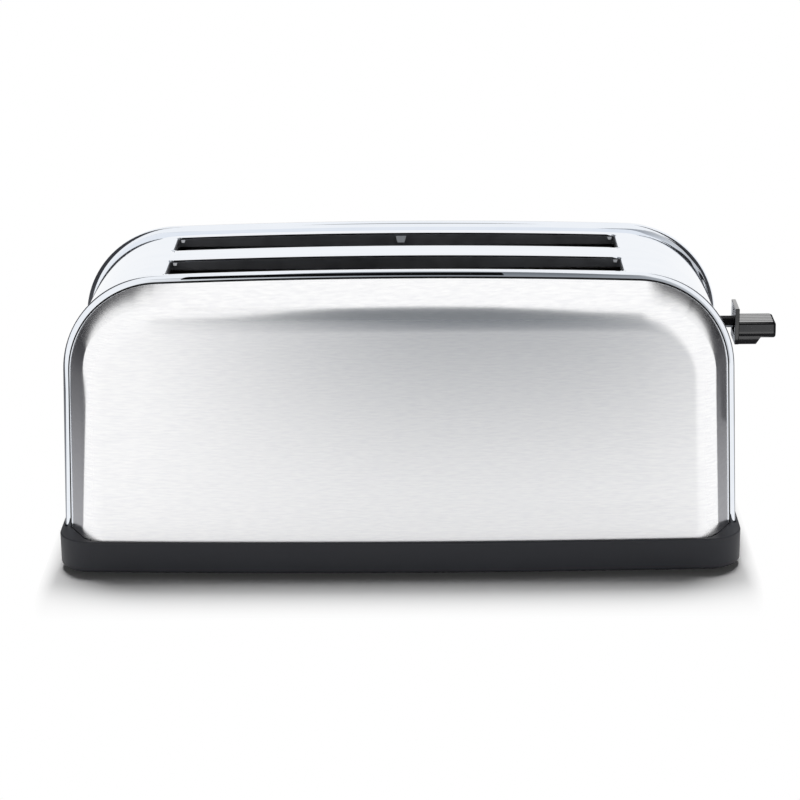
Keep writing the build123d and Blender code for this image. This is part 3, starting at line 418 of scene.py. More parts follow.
def panel_section():
    """Insets and depths of a panel's section, from its flange to the start of its face."""
    foot = SEAM_STEP + FLANK_SLOPE * FACE_DEPTH
    points = [(SEAM_STEP + PANEL_FLANGE, 0), (SEAM_STEP, 0), (foot, FACE_DEPTH)]
    points.append((2 * foot, FACE_DEPTH))
    return round_corners(points, [RIM_R, PANEL_BEND_R], BEND_STEPS)[:-1]


def bow(x):
    """How far the bowed face falls back at a place along its length."""
    return FACE_R - sqrt(FACE_R**2 - (x - MIDDLE) ** 2)


def follow_bow(bm, verts, side):
    """Lets the bend fall back with the face, along the slope of the flank."""
    out = bm.verts.layers.float_vector["out"]
    for vert in verts:
        back = bow(vert.co.x)
        vert.co += vert[out] * FLANK_SLOPE * back + Vector((0, -side * back, 0))
        vert.co.z = max(vert.co.z, FOOT_Z)


print("a panel's face falls back by", round(bow(base_high.x) / MM, 1), "mm at the end of the base")


# %% Front and rear panel
def whole_of(faces):
    """Faces with their edges and vertices, as a cut wants them."""
    edges = [e for f in faces for e in f.edges]
    return list(set(faces + edges + [v for f in faces for v in f.verts]))


def close_face(bm, ring, verts):
    """Closes the last ring with a face and gives the upright strips that it is cut into."""
    ends = [v for v in verts if len([e for e in v.link_edges if e in ring]) == 1]
    ring.append(bm.edges.new(ends))
    strips = {bmesh.ops.contextual_create(bm, geom=ring)["faces"][0]}
    for x in sorted({round(v.co.x, 6) for v in verts})[1:-1]:
        split = bmesh.ops.bisect_plane(
            bm,
            geom=whole_of([f for f in strips if f.is_valid]),
            dist=STRIP_TOLERANCE,
            plane_co=(x, 0, 0),
            plane_no=(1, 0, 0),
        )
        strips.update(g for g in split["geom"] if isinstance(g, bmesh.types.BMFace))
    return strips


def note_brush(bm, side, rim_y):
    """Notes for the finish where the die rubbed the sheet, and the way across the scratches."""
    drawn = bm.verts.layers.float.new("drawn")
    for vert in bm.verts:
        depth = side * (vert.co.y - rim_y) + bow(vert.co.x)
        vert[drawn] = min(max((FACE_DEPTH - depth) / BEND_DEPTH, 0), 1)
    across = bm.loops.layers.uv.new("across_brush")
    for face in bm.faces:
        for loop in face.loops:
            loop[across].uv = (loop.vert.co.z / FACE_DEPTH, loop.vert.co.x / FACE_DEPTH)


def make_panel(side, name, node):
    """A drawn panel on the front (-1) or the rear (1)."""
    bm = bmesh.new()
    section = panel_section()
    ring = body_wire(bm)
    rim_y = side * abs(panel_high.y)
    draw_in(bm, bm.verts, section[0].x, rim_y)
    for inset, depth in section[1:]:
        ring, verts = next_ring(bm, ring)
        draw_in(bm, verts, inset, rim_y + side * depth)
        if depth > FACE_DEPTH / 2:
            follow_bow(bm, verts, side)
    for strip in close_face(bm, ring, verts):
        for vert in strip.verts:
            vert.co.y = rim_y + side * (FACE_DEPTH - bow(vert.co.x))
    turn_faces(bm, lambda place: Vector((0, side, 0)))
    note_brush(bm, side, rim_y)
    finish_piece(bm, name, panel_finish, "housing", [node], SHEET)


make_panel(-1, "front_panel_skin", "front_panel")
make_panel(1, "rear_panel_skin", "rear_panel")

# %% [markdown]
# ## The polished cover
# One long strip makes the top and both ends. Its long edges are raised into round beads, and the
# two slots have their edges turned down. The same outline is extruded across the toaster along the
# strip's section. A Boolean cut could leave slivers that show in a mirror finish, so windows are
# opened in the grid: faces inside are merged into one, its corners are rounded by a vertex bevel,
# and it is taken away.

# %% Opening windows and holes in a sheet
BEAD_WIDTH = 6 * MM
BEAD_HEIGHT = 3.5 * MM
CUT_TOLERANCE = 1e-6
CORNER_ANGLE = radians(150)
CORNER_STEPS = 6
HOLE_STEPS = 48


def faces_in(bm, inside):
    """Faces whose middles lie inside."""
    return [f for f in bm.faces if inside(f.calc_center_median())]


def cut(bm, place, across, inside):
    """Cuts the faces that lie inside along a plane."""
    parts = whole_of(faces_in(bm, inside))
    bmesh.ops.bisect_plane(bm, geom=parts, dist=CUT_TOLERANCE, plane_co=place, plane_no=across)


def open_window(bm, inside, corner):
    """Opens a window with round corners and gives its edges."""
    mark = bm.faces.layers.int.get("window") or bm.faces.layers.int.new("window")
    whole = bmesh.ops.dissolve_faces(bm, faces=faces_in(bm, inside))["region"][0]
    whole[mark] = 1
    corners = [loop.vert for loop in whole.loops if loop.calc_angle() < CORNER_ANGLE]
    bevel(bm, corners, "VERTICES", corner, CORNER_STEPS)
    whole = max((f for f in bm.faces if f[mark]), key=lambda f: f.calc_area())
    edges = list(whole.edges)
    bmesh.ops.delete(bm, geom=[whole], context="FACES_ONLY")
    for face in bm.faces:
        face[mark] = 0
    return edges


def round_hole(bm, inside, place, radius):
    """Swaps a square of sheet on the lever end for one with a round hole."""
    whole = bmesh.ops.dissolve_faces(bm, faces=faces_in(bm, inside))["region"][0]
    edges = list(whole.edges)
    bmesh.ops.delete(bm, geom=[whole], context="FACES_ONLY")
    tilt = Vector((cos(LEAN), 0, sin(LEAN))).to_track_quat("Z", "Y").to_matrix().to_4x4()
    circle = bmesh.ops.create_circle(
        bm, segments=HOLE_STEPS, radius=radius, matrix=Matrix.Translation(place) @ tilt
    )["verts"]
    rim = {e for v in circle for e in v.link_edges}
    bmesh.ops.bridge_loops(bm, edges=edges + list(rim))


def end_x(z, inset):
    """X of the lever end at a height, that far inside the outline."""
    return MIDDLE + FOOT_HALF - (z - FOOT_Z) * tan(LEAN) - inset / cos(LEAN)


print("the lever end's sheet starts at x =", round(end_x(FOOT_Z, BEAD_HEIGHT) / MM, 1), "mm")

# %% Cover with slots and end windows
BEAD_R = 2.7 * MM
BEAD_STEPS = 8
SLOT_LENGTH = 257.3 * MM
SLOT_WIDTH = 29.4 * MM
SLOT_PITCH = 50.8 * MM
SLOT_MIDDLE = MIDDLE - 1.85 * MM
SLOT_CORNER_R = 2 * MM
SLOT_LIP_R = 0.7 * MM
LIP_STEPS = 4
SKIRT_DEPTH = 6 * MM
LEVER_SLOT_HALF = 4 * MM
LEVER_SLOT_LOW = 62.9 * MM
LEVER_SLOT_HIGH = 127.9 * MM
SHAFT_HOLE_R = 4 * MM
BUTTON_R = 4.5 * MM
HOLE_GAP = 0.3 * MM
HOLE_SQUARE_HALF = 6.4 * MM


def open_slot(bm, low, high):
    """One slot: a window in the top whose edge is turned down into a skirt."""
    left, right = SLOT_MIDDLE - SLOT_LENGTH / 2, SLOT_MIDDLE + SLOT_LENGTH / 2
    on_top = TOP_Z - SHOULDER_R / 4

    def over(c):
        return low < c.y < high and c.z > on_top

    for x in (left, right):
        cut(bm, (x, 0, 0), (1, 0, 0), over)
    edges = open_window(bm, lambda c: over(c) and left < c.x < right, SLOT_CORNER_R)
    _, verts = next_ring(bm, edges)
    for vert in verts:
        vert.co.z = TOP_Z - BEAD_HEIGHT - SKIRT_DEPTH
    bevel(bm, edges, "EDGES", SLOT_LIP_R, LIP_STEPS)


def open_lever_end(bm):
    """Slot for the lever, and holes for the dial's shaft and the three buttons."""
    half = HOLE_SQUARE_HALF

    def end(c):
        return c.x > MIDDLE + SHOULDER_X and abs(c.y) < cover_high.y - BEAD_WIDTH

    holes = []
    for node in ("browning_dial", "cancel_button", "reheat_button", "defrost_button"):
        low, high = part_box(node)
        radius = SHAFT_HOLE_R if node == "browning_dial" else BUTTON_R + HOLE_GAP
        z, y = (low.z + high.z) / 2, (low.y + high.y) / 2
        holes.append((Vector((end_x(z, BEAD_HEIGHT), y, z)), radius))
    for place, _ in holes:
        for step in (-half, half):
            cut(bm, place + Vector((0, 0, step)), (0, 0, 1), end)
            cut(bm, place + Vector((0, step, 0)), (0, 1, 0), end)
    for y in (-LEVER_SLOT_HALF, LEVER_SLOT_HALF):
        cut(bm, (0, y, 0), (0, 1, 0), end)
    for z in (LEVER_SLOT_LOW, LEVER_SLOT_HIGH):
        cut(bm, (0, 0, z), (0, 0, 1), end)
    for place, radius in holes:
        round_hole(
            bm,
            lambda c: end(c) and abs(c.y - place.y) < half and abs(c.z - place.z) < half,
            place,
            radius,
        )
    open_window(
        bm,
        lambda c: end(c) and abs(c.y) < LEVER_SLOT_HALF and LEVER_SLOT_LOW < c.z < LEVER_SLOT_HIGH,
        LEVER_SLOT_HALF / 2,
    )


def make_cover():
    """Polished cover: two beads, two slots with turned-down edges, and the lever end's windows."""
    bm = bmesh.new()
    edge = cover_high.y
    inner = edge - BEAD_WIDTH
    back = BEAD_HEIGHT + SHEET
    slot_edges = [s * SLOT_PITCH / 2 + w * SLOT_WIDTH / 2 for s in (-1, 1) for w in (-1, 1)]
    bead = [(-edge, back), (-edge, 0), (-inner, 0), (-inner, BEAD_HEIGHT)]
    points = bead + [(y, BEAD_HEIGHT) for y in slot_edges] + [(-y, i) for y, i in reversed(bead)]
    radii = [BEAD_R, BEAD_R, 0, 0, 0, 0, 0, 0, BEAD_R, BEAD_R]
    section = round_corners(points, radii, BEAD_STEPS)
    ring = body_wire(bm)
    draw_in(bm, bm.verts, section[0].y, section[0].x)
    for y, inset in section[1:]:
        ring, verts = next_ring(bm, ring)
        draw_in(bm, verts, inset, y)
    turn_faces(bm, lambda place: Vector((0, 0, 1)))
    for low, high in (slot_edges[:2], slot_edges[2:]):
        open_slot(bm, low, high)
    open_lever_end(bm)
    cover = ["top_cover"]
    finish_piece(bm, "polished_cover", cover_finish, "housing", cover, SHEET)


make_cover()

# %% [markdown]
# ## Plastics, rubber and inner metals
# The mouldings differ by their moulds: the base has a fine satin grain, the lever is glossy, the
# controls lie between. One recipe makes them all, given the colours, the grain and the gloss of
# each, so that they look like one family. What is inside mostly shows through the slots alone, so a
# mottled tone and a right gloss are enough there, and the mica and the heating ribbon carry painted
# shade in their darker colours.

# %% Recipes for plastics and metals
TONE_PATCH = 35


def moulded_plastic(name, dark, light, rough, grain, depth, gloss=0.5, coat=0.0):
    """Moulded plastic: the mould's fine grain, a slightly uneven tone, maybe a clear skin."""
    finish, tree, place = new_material(name)
    pits = add(tree, "TexNoise", {"Vector": place, "Scale": per(grain), "Detail": 2.0})
    patch = {"Vector": place, "Scale": per(TONE_PATCH), "Detail": 3.0}
    cloud = add(tree, "TexNoise", patch)
    tones = {0: cloud, 6: srgb(dark), 7: srgb(light)}
    colour = add(tree, "Mix", tones, data_type="RGBA")
    spread = {"Value": cloud, "To Min": rough * 0.85, "To Max": rough * 1.15}
    sheen = add(tree, "MapRange", spread)
    bump = add(tree, "Bump", {"Height": pits, "Distance": depth * MM})
    surface = {
        "Base Color": colour.outputs[2],
        "Roughness": sheen,
        "Specular IOR Level": gloss,
        "Coat Weight": coat,
        "Coat Roughness": 0.06,
        "Coat IOR": 1.6,
        "Normal": bump,
    }
    shader = add(tree, "BsdfPrincipled", surface)
    add(tree, "OutputMaterial", {"Surface": shader})
    return finish


def plain_metal(name, dark, light, rough, grain):
    """Bare or plated metal with a mottled surface."""
    finish, tree, place = new_material(name)
    mottle = add(tree, "TexNoise", {"Vector": place, "Scale": per(grain), "Detail": 4.0})
    tones = {0: mottle, 6: srgb(dark), 7: srgb(light)}
    colour = add(tree, "Mix", tones, data_type="RGBA")
    spread = {"Value": mottle, "To Min": rough * 0.7, "To Max": rough * 1.3}
    sheen = add(tree, "MapRange", spread)
    surface = {"Metallic": 1.0, "Base Color": colour.outputs[2], "Roughness": sheen}
    shader = add(tree, "BsdfPrincipled", surface)
    add(tree, "OutputMaterial", {"Surface": shader})
    return finish


print("tone of a moulding changes over", TONE_PATCH, "mm")

# %% Finishes of the mouldings and of the inner pieces
finishes = {
    "panel_steel": panel_finish,
    "cover_chrome": cover_finish,
    # Charcoal satin that hardly mirrors the floor.
    "base_plastic": moulded_plastic("satin_black_abs", "#27282c", "#2d2e33", 0.5, 0.8, 0.01, 0.3),
    # Dull black with a fine grit.
    "foot_rubber": moulded_plastic("black_rubber", "#131313", "#1a1a1a", 0.75, 1.5, 0.02, 0.3),
    # Deep black under a clear skin that turns pale where it is seen at a low angle.
    "lever_plastic": moulded_plastic(
        "gloss_black_abs", "#0c0c0d", "#121214", 0.14, 6, 0.001, coat=1.0
    ),
    # Black with a soft highlight on its edges.
    "dial_plastic": moulded_plastic("black_abs", "#111113", "#18181b", 0.3, 1.2, 0.004),
    # Black and slightly waxy.
    "gland_plastic": moulded_plastic("black_nylon", "#131315", "#1a1a1d", 0.4, 1.2, 0.01),
    # Brown-black and dull.
    "component_plastic": moulded_plastic("black_phenolic", "#1b1a19", "#242220", 0.5, 1.5, 0.01),
    # Milky white with a soft gloss.
    "white_plastic": moulded_plastic("white_nylon", "#d6d4cc", "#e2e0d9", 0.4, 1.5, 0.01),
    # Pressed brown paper under a thin resin gloss.
    "board_laminate": moulded_plastic("paper_laminate", "#8d6a3a", "#a07a45", 0.45, 2, 0.01),
    # Flaky grey-brown sheet, its dark tone painted shade for the inside of the slots.
    "mica": moulded_plastic("mica_sheet", "#3b3732", "#4d4841", 0.45, 4, 0.05, 0.3),
    # Grey sheet with a faint spangle.
    "chassis_steel": plain_metal("zinc_plated_steel", "#86898e", "#a6a9ad", 0.38, 8),
    # Pale sheet with a silky sheen.
    "tray_steel": plain_metal("aluminised_steel", "#a9abae", "#c5c7ca", 0.35, 12),
    # Oxidised strip, painted darker still for the shade inside the slots.
    "resistance_ribbon": plain_metal("nickel_chrome_ribbon", "#4a4642", "#625d59", 0.45, 10),
    # Thin bright wire, dulled by heat.
    "guard_wire": plain_metal("bright_steel_wire", "#5d5f63", "#77797d", 0.35, 15),
    # Grey bare iron.
    "magnet_steel": plain_metal("soft_iron", "#77787b", "#909195", 0.4, 6),
    # Smooth ground rod.
    "ground_steel": plain_metal("ground_steel", "#b4b6b9", "#caccce", 0.15, 10),
    # Drawn grey wire.
    "spring_steel": plain_metal("spring_wire", "#8b8d90", "#a5a7aa", 0.25, 5),
    # Red-brown enamel over copper.
    "coil_winding": plain_metal("enamelled_copper", "#8a4a26", "#a85d32", 0.35, 2),
    # Yellow metal with a soft shine.
    "contact_brass": plain_metal("brass", "#b99444", "#cdaa5c", 0.3, 4),
    # Small bright heads.
    "screw_steel": plain_metal("zinc_plated_screw", "#a6a9ad", "#c3c6ca", 0.3, 3),
}
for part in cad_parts.values():
    for slot in part.material_slots:
        slot.material = finishes[slot.name.split(".")[0]]
print(len(finishes), "finishes on", len(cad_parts), "nodes")

# %% [markdown]
# ## The seal
# A thin black strip lies between each panel's rim and the cover's bead, and draws the dark line
# that runs round the panel. It is drawn from the same outline, so that it follows both, and it
# stands a little proud of the bead's wall.

# %% Black seal behind each panel
SEAL_OUT = SEAM_STEP - 0.2 * MM
SEAL_IN = SEAM_STEP + 2 * MM
SEAL_PROUD = 0.15 * MM


def make_seal(side, name):
    """Flat strip along the outline, between a panel's rim and the bead."""
    bm = bmesh.new()
    ring = body_wire(bm)
    wall = side * cover_high.y
    draw_in(bm, bm.verts, SEAL_OUT, wall)
    for inset in (SEAL_OUT, SEAL_IN):
        ring, verts = next_ring(bm, ring)
        draw_in(bm, verts, inset, wall + side * SEAL_PROUD)
    turn_faces(bm, lambda place: Vector((0, side, 0)))
    finish_piece(bm, name, finishes["foot_rubber"], "housing")


make_seal(-1, "front_seal")
make_seal(1, "rear_seal")

# %% [markdown]
# ## Inside the slots
# A collar of matt steel lines each slot just under its turned-down edge. It hides the gap between
# cover and heaters, and its dark grey is painted shade, so the slots look dark instead of mirroring
# each other.
# A rectangle gets round corners, and its edges are extruded up to the crowned top.

# %% Collars
LINER_GAP = 0.25 * MM
LINER_DROP = 1.0 * MM
LINER_FOOT = TOP_Z - BEAD_HEIGHT - SKIRT_DEPTH - 1.5 * MM
LINER_SHEET = 0.3 * MM
LINER_CUTS = 24
SQUARE = ((-1, -1), (1, -1), (1, 1), (-1, 1))
# Matt sheet whose dark grey is painted shade for the inside of the slots.
slot_shade_steel = plain_metal("slot_shade_steel", "#6a6b6e", "#85868a", 0.6, 8)


def slot_top(x):
    """Height of the cover's top at a place along its length."""
    return CROWN_Z + sqrt((CROWN_R - BEAD_HEIGHT) ** 2 - (x - MIDDLE) ** 2)


def make_liner(side, name):
    """Collar inside the front (-1) or the rear (1) slot."""
    bm = bmesh.new()
    length, width = SLOT_LENGTH / 2 - LINER_GAP, SLOT_WIDTH / 2 - LINER_GAP
    middle = Vector((SLOT_MIDDLE, side * SLOT_PITCH / 2, LINER_FOOT))
    corners = [bm.verts.new(middle + Vector((a * length, b * width, 0))) for a, b in SQUARE]
    bm.faces.new(corners)
    bevel(bm, corners, "VERTICES", SLOT_CORNER_R - LINER_GAP, CORNER_STEPS)
    bmesh.ops.delete(bm, geom=list(bm.faces), context="FACES_ONLY")
    sides = [e for e in bm.edges if e.calc_length() > SLOT_WIDTH]
    bmesh.ops.subdivide_edges(bm, edges=sides, cuts=LINER_CUTS)
    _, verts = next_ring(bm, list(bm.edges))
    for vert in verts:
        vert.co.z = slot_top(vert.co.x) - LINER_DROP
    turn_faces(bm, lambda place: middle - place)
    finish_piece(bm, name, slot_shade_steel, "housing", sheet=LINER_SHEET)


make_liner(-1, "front_slot_liner")
make_liner(1, "rear_slot_liner")

# %% [markdown]
# ## The lever handle
# The handle is a glossy moulding: an upright back plate, a knob whose sides meet in a parting line,
# a sloped rib below for the finger, and a channel that clips over the steel arm and leaves its
# lower edge bare. Its mould is polished where a hand goes and rough at the channel, which stays
# matt. Fine ridges run along the top of the knob. Each part is an outline extruded into a prism
# whose edges are bevelled, so that every edge takes a highlight.

# %% A prism with rounded edges
EDGE_STEPS = 4


def prism(bm, outline, way, edge):
    """Prism from an outline pushed along a way, with its edges rounded."""
    face = bm.faces.new([bm.verts.new(point) for point in outline])
    solid = bmesh.ops.extrude_face_region(bm, geom=[face], use_keep_orig=True)["geom"]
    moved = [g for g in solid if isinstance(g, bmesh.types.BMVert)]
    bmesh.ops.translate(bm, verts=moved, vec=way)
    edges = {e for v in moved + list(face.verts) for e in v.link_edges}
    verts = {v for e in edges for v in e.verts}
    bmesh.ops.recalc_face_normals(bm, faces=list({f for v in verts for f in v.link_faces}))
    bevel(bm, list(edges), "EDGES", edge, EDGE_STEPS, clamp=True)


def box_outline(x, y0, y1, z0, z1):
    """Corners of an upright rectangle across the lever."""
    return [(x, y0, z0), (x, y1, z0), (x, y1, z1), (x, y0, z1)]


handle_low, handle_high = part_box("lever_handle")
arm_low, arm_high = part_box("lever_arm")
print("the handle is", round((handle_high.x - handle_low.x) / MM, 1), "mm long")

# %% Handle and its channel
PLATE_X = handle_low.x + 11 * MM
PLATE_THICKNESS = 2.6 * MM
PLATE_EDGE = 0.5 * MM
KNOB_LOW = handle_low.z + 3.7 * MM
KNOB_HIGH = KNOB_LOW + 9.4 * MM
KNOB_PART_Z = KNOB_LOW + 4 * MM
KNOB_TOP_DRAFT = 0.9 * MM
KNOB_FOOT_DRAFT = 0.6 * MM
KNOB_TIP_R = 1.6 * MM
RIB_LENGTH = 12.5 * MM
RIB_SLOPE = 3.5 * MM
RIB_EDGE = 0.5 * MM
CHANNEL_HALF = 3 * MM
CHANNEL_LOW = arm_low.z + 1.6 * MM
CHANNEL_HIGH = arm_high.z + 0.9 * MM
CHANNEL_EDGE = 0.4 * MM
RIDGES = 6
RIDGE_WIDTH = 1.6 * MM
RIDGE_HEIGHT = 0.09 * MM
RIDGE_EDGE = RIDGE_HEIGHT * 0.9


def make_handle():
    """Lever handle that rides on the carriage."""
    bm = bmesh.new()
    half = handle_high.y
    along = handle_high.x - PLATE_X
    plate = box_outline(PLATE_X, -half, half, handle_low.z, handle_high.z)
    prism(bm, plate, (PLATE_THICKNESS, 0, 0), PLATE_EDGE)
    top, foot = half - KNOB_TOP_DRAFT, half - KNOB_FOOT_DRAFT
    crest = KNOB_HIGH - RIDGE_HEIGHT
    sides = [(-top, crest), (-half, KNOB_PART_Z), (-foot, KNOB_LOW)]
    knob = [(PLATE_X, y, z) for y, z in sides] + [(PLATE_X, -y, z) for y, z in reversed(sides)]
    prism(bm, knob, (along, 0, 0), KNOB_TIP_R)
    rib = [
        (PLATE_X + PLATE_THICKNESS / 2, -foot, handle_low.z),
        (PLATE_X + RIB_LENGTH, -foot, handle_low.z),
        (PLATE_X + RIB_LENGTH + RIB_SLOPE, -foot, KNOB_LOW + KNOB_TIP_R),
        (PLATE_X + PLATE_THICKNESS / 2, -foot, KNOB_LOW + KNOB_TIP_R),
    ]
    prism(bm, rib, (0, 2 * foot, 0), RIB_EDGE)
    pitch = 2 * top / RIDGES
    start = PLATE_X + PLATE_THICKNESS
    for i in range(RIDGES):
        y = (i + 0.5) * pitch - top
        left, right = y - RIDGE_WIDTH / 2, y + RIDGE_WIDTH / 2
        ridge = box_outline(start, left, right, crest - RIDGE_HEIGHT, KNOB_HIGH)
        prism(bm, ridge, (handle_high.x - KNOB_TIP_R - start, 0, 0), RIDGE_EDGE)
    name, gloss, node = "lever_handle_moulding", finishes["lever_plastic"], ["lever_handle"]
    finish_piece(bm, name, gloss, "carriage", node, moulded=True)


def make_channel():
    """Channel of the handle that clips over the arm."""
    bm = bmesh.new()
    channel = box_outline(handle_low.x, -CHANNEL_HALF, CHANNEL_HALF, CHANNEL_LOW, CHANNEL_HIGH)
    prism(bm, channel, (PLATE_X + PLATE_THICKNESS / 2 - handle_low.x, 0, 0), CHANNEL_EDGE)
    # Black that takes no highlight.
    matt = moulded_plastic("matt_black_abs", "#0c0c0d", "#121214", 0.65, 1.2, 0.01, 0.15)
    finish_piece(bm, "lever_channel", matt, "carriage", moulded=True)


make_handle()
make_channel()

# %% [markdown]
# ## Lugs of the collars
# Small lugs that lock the sheet together are bent out of the collars' far sides: one at each end of
# a slot and a larger one in the middle of the rear slot. Each is a flap of bright sheet that leans
# out of its collar, wider at its upper edge, so the prism of the handle serves here too.

# %% Lugs in the slots
END_LUG_HALF = 1.3 * MM
END_LUG_PLACE = SLOT_LENGTH / 2 - 3 * MM
MIDDLE_LUG_HALF = 3.1 * MM
MIDDLE_LUG_PLACE = 2.9 * MM
# Shares of a lug's half width.
LUG_DROP = 0.25
LUG_HEIGHT = 1.1
LUG_LEAN = 0.7
LUG_TAPER = 0.65


def make_lugs():
    """Flaps on the far sides of both collars, each with its place along the slot and half width."""
    bm = bmesh.new()
    spots = [(s, end * END_LUG_PLACE, END_LUG_HALF) for s in (-1, 1) for end in (-1, 1)]
    for side, along, half in spots + [(1, MIDDLE_LUG_PLACE, MIDDLE_LUG_HALF)]:
        x = SLOT_MIDDLE + along
        wall = side * SLOT_PITCH / 2 + SLOT_WIDTH / 2 - LINER_GAP - LINER_SHEET
        top = slot_top(x) - LINER_DROP - half * LUG_DROP
        foot, lean, narrow = top - half * LUG_HEIGHT, wall - half * LUG_LEAN, half * LUG_TAPER
        upper = [(x - half, wall, top), (x + half, wall, top)]
        lower = [(x + narrow, lean, foot), (x - narrow, lean, foot)]
        prism(bm, upper + lower, (0, 2 * LINER_SHEET, 0), LINER_SHEET / 4)
    finish_piece(bm, "slot_lugs", finishes["tray_steel"], "housing", moulded=True)


make_lugs()

# %% [markdown]
# ## Marks of the dial
# A white inlay fills the pointer groove of the dial and turns with it. Seven short strokes are
# printed on the cover's end round it, in black ink that stands a hair proud of the steel, with no
# writing. As thin prisms they stay sharp at any distance, which a painted texture would not.

# %% Pointer and printed scale
dial_low, dial_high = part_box("browning_dial")
DIAL_AXIS = Vector((0, 0, (dial_low.z + dial_high.z) / 2))
DIAL_R = dial_high.y
POINTER_LOW = DIAL_AXIS.z + DIAL_R / 2 + 0.1 * MM
POINTER_HIGH = dial_high.z - 1.3 * MM
POINTER_HALF = 0.5 * MM
POINTER_DEEP = 0.6 * MM
POINTER_SUNK = 0.15 * MM
STROKES = 7
STROKE_SWEEP = radians(270)
STROKE_HALF = 0.35 * MM
# Shares of the dial's radius.
STROKE_FROM = 1.12
STROKE_TO = 1.3
INK = 0.06 * MM


def make_pointer():
    """White inlay in the groove of the dial."""
    bm = bmesh.new()
    face = dial_high.x - POINTER_DEEP
    bar = box_outline(face, -POINTER_HALF, POINTER_HALF, POINTER_LOW, POINTER_HIGH)
    prism(bm, bar, (POINTER_DEEP - POINTER_SUNK, 0, 0), POINTER_SUNK / 2)
    white = finishes["white_plastic"]
    finish_piece(bm, "dial_pointer", white, "dial", moulded=True)


def make_scale():
    """Printed strokes round the dial, each laid on the leaning end of the cover."""
    bm = bmesh.new()
    proud = Vector((cos(LEAN), 0, sin(LEAN))) * 2 * INK
    for i in range(STROKES):
        angle = (i / (STROKES - 1) - 0.5) * STROKE_SWEEP
        along = Vector((0, sin(angle), cos(angle)))
        aside = Vector((0, cos(angle), -sin(angle)))
        stroke = []
        for reach, step in zip((STROKE_FROM, STROKE_FROM, STROKE_TO, STROKE_TO), (-1, 1, 1, -1)):
            corner = DIAL_AXIS + along * reach * DIAL_R + aside * step * STROKE_HALF
            corner.x = end_x(corner.z, BEAD_HEIGHT) - INK
            stroke.append(corner)
        prism(bm, stroke, proud, INK / 4)
    black = finishes["dial_plastic"]
    finish_piece(bm, "dial_scale", black, "housing", moulded=True)


make_pointer()
make_scale()

# %% [markdown]
# ## Floor and light
# The toaster stands on white paper under one wide soft lamp, a little behind it, so that its shadow
# falls softly to the front, and a low lamp in front lifts the black mouldings. Camera and mirror
# rays see a white room. The paper keeps the shadow by the toaster and glows white farther away.
# Flooding the paper with light instead would wash out the steel.

# %% Floor
FLOOR_HALF = 12.0
# The paper goes from shaded to white between these distances from the base, in metres.
SHADOW_START = 0.004
SHADOW_END = 0.058
# How many times a distance counts beyond the ends of the base.
SHADOW_SIDES = 6.0
WHITE = srgb("#ffffff")


def seen_directly(tree):
    """One for a camera, mirror or glass ray, nought for light that is only scattered."""
    ray = add(tree, "LightPath")
    seen = {0: ray.outputs["Is Camera Ray"], 1: ray.outputs["Is Glossy Ray"]}
    mirrored = add(tree, "Math", seen, operation="MAXIMUM")
    clear = {0: mirrored, 1: ray.outputs["Is Transmission Ray"]}
    return add(tree, "Math", clear, operation="MAXIMUM")


def floor_paper():
    """White paper that takes the shadow near the toaster and is pure white farther away."""
    finish, tree, place = new_material("white_paper")
    middle = (base_low + base_high) / 2
    reach = (base_high - base_low) / 2
    off = add(tree, "VectorMath", {0: place, 1: middle}, operation="SUBTRACT")
    away = add(tree, "VectorMath", {0: off}, operation="ABSOLUTE")
    past = add(tree, "VectorMath", {0: away, 1: reach}, operation="SUBTRACT")
    outside = {0: past, 1: (0, 0, 0)}
    free = add(tree, "VectorMath", outside, operation="MAXIMUM")
    side = {0: free, 1: (SHADOW_SIDES, 1, 0)}
    wide = add(tree, "VectorMath", side, operation="MULTIPLY")
    gap = add(tree, "VectorMath", {0: wide}, operation="LENGTH")
    ramp = {"Value": gap.outputs["Value"], "From Min": SHADOW_START, "From Max": SHADOW_END}
    fade = add(tree, "MapRange", ramp)
    clear = {0: seen_directly(tree), 1: fade}
    white = add(tree, "Math", clear, operation="MULTIPLY")
    paper = add(tree, "BsdfDiffuse", {"Color": srgb("#f4f4f4")})
    glow = add(tree, "Emission", {"Color": WHITE})
    both = {0: white, 1: paper, 2: glow}
    mixed = add(tree, "MixShader", both)
    add(tree, "OutputMaterial", {"Surface": mixed})
    return finish


def stage_face(name, corners, finish):
    """A flat stage piece between its corners that isn't part of the toaster."""
    bm = bmesh.new()
    bm.faces.new([bm.verts.new(corner) for corner in corners])
    face = link_mesh(bm, name, finish)
    return face


floor_corners = [(x * FLOOR_HALF, y * FLOOR_HALF, 0) for x, y in SQUARE]
floor = stage_face("floor", floor_corners, floor_paper())
print("the floor is", round(floor.dimensions.x), "m wide")

# %% Room and lamps
# Strength of the room where its light is scattered; seen or mirrored, it is 1.
ROOM_LIGHT = 0.035


def soft_lamp(name, size, energy, place, aim):
    """A wide lamp that mirror rays don't see, since they see the white room."""
    lamp = bpy.data.objects.new(name, bpy.data.lights.new(name, "AREA"))
    lamp.data.shape = "RECTANGLE"
    lamp.data.size, lamp.data.size_y = size
    lamp.data.energy = energy
    lamp.location = place
    lamp.rotation_mode = "QUATERNION"
    lamp.rotation_quaternion = (Vector(aim) - Vector(place)).to_track_quat("-Z", "Y")
    lamp.visible_glossy = False
    bpy.context.scene.collection.objects.link(lamp)


world = bpy.data.worlds.new("white_room")
bpy.context.scene.world = world
world.use_nodes = True
room = world.node_tree
room.nodes.clear()
level = {"Value": seen_directly(room), "To Min": ROOM_LIGHT, "To Max": 1.0}
strength = add(room, "MapRange", level)
sky = add(room, "Background", {"Color": WHITE, "Strength": strength})
add(room, "OutputWorld", {"Surface": sky})

soft_lamp("key_lamp", size=(3.0, 1.9), energy=400, place=(0, 1.7, 6), aim=(0, 1.7, 0))
soft_lamp("front_lamp", size=(2.5, 0.5), energy=60, place=(0, -4, 0.3), aim=(0, 0, 0.08))

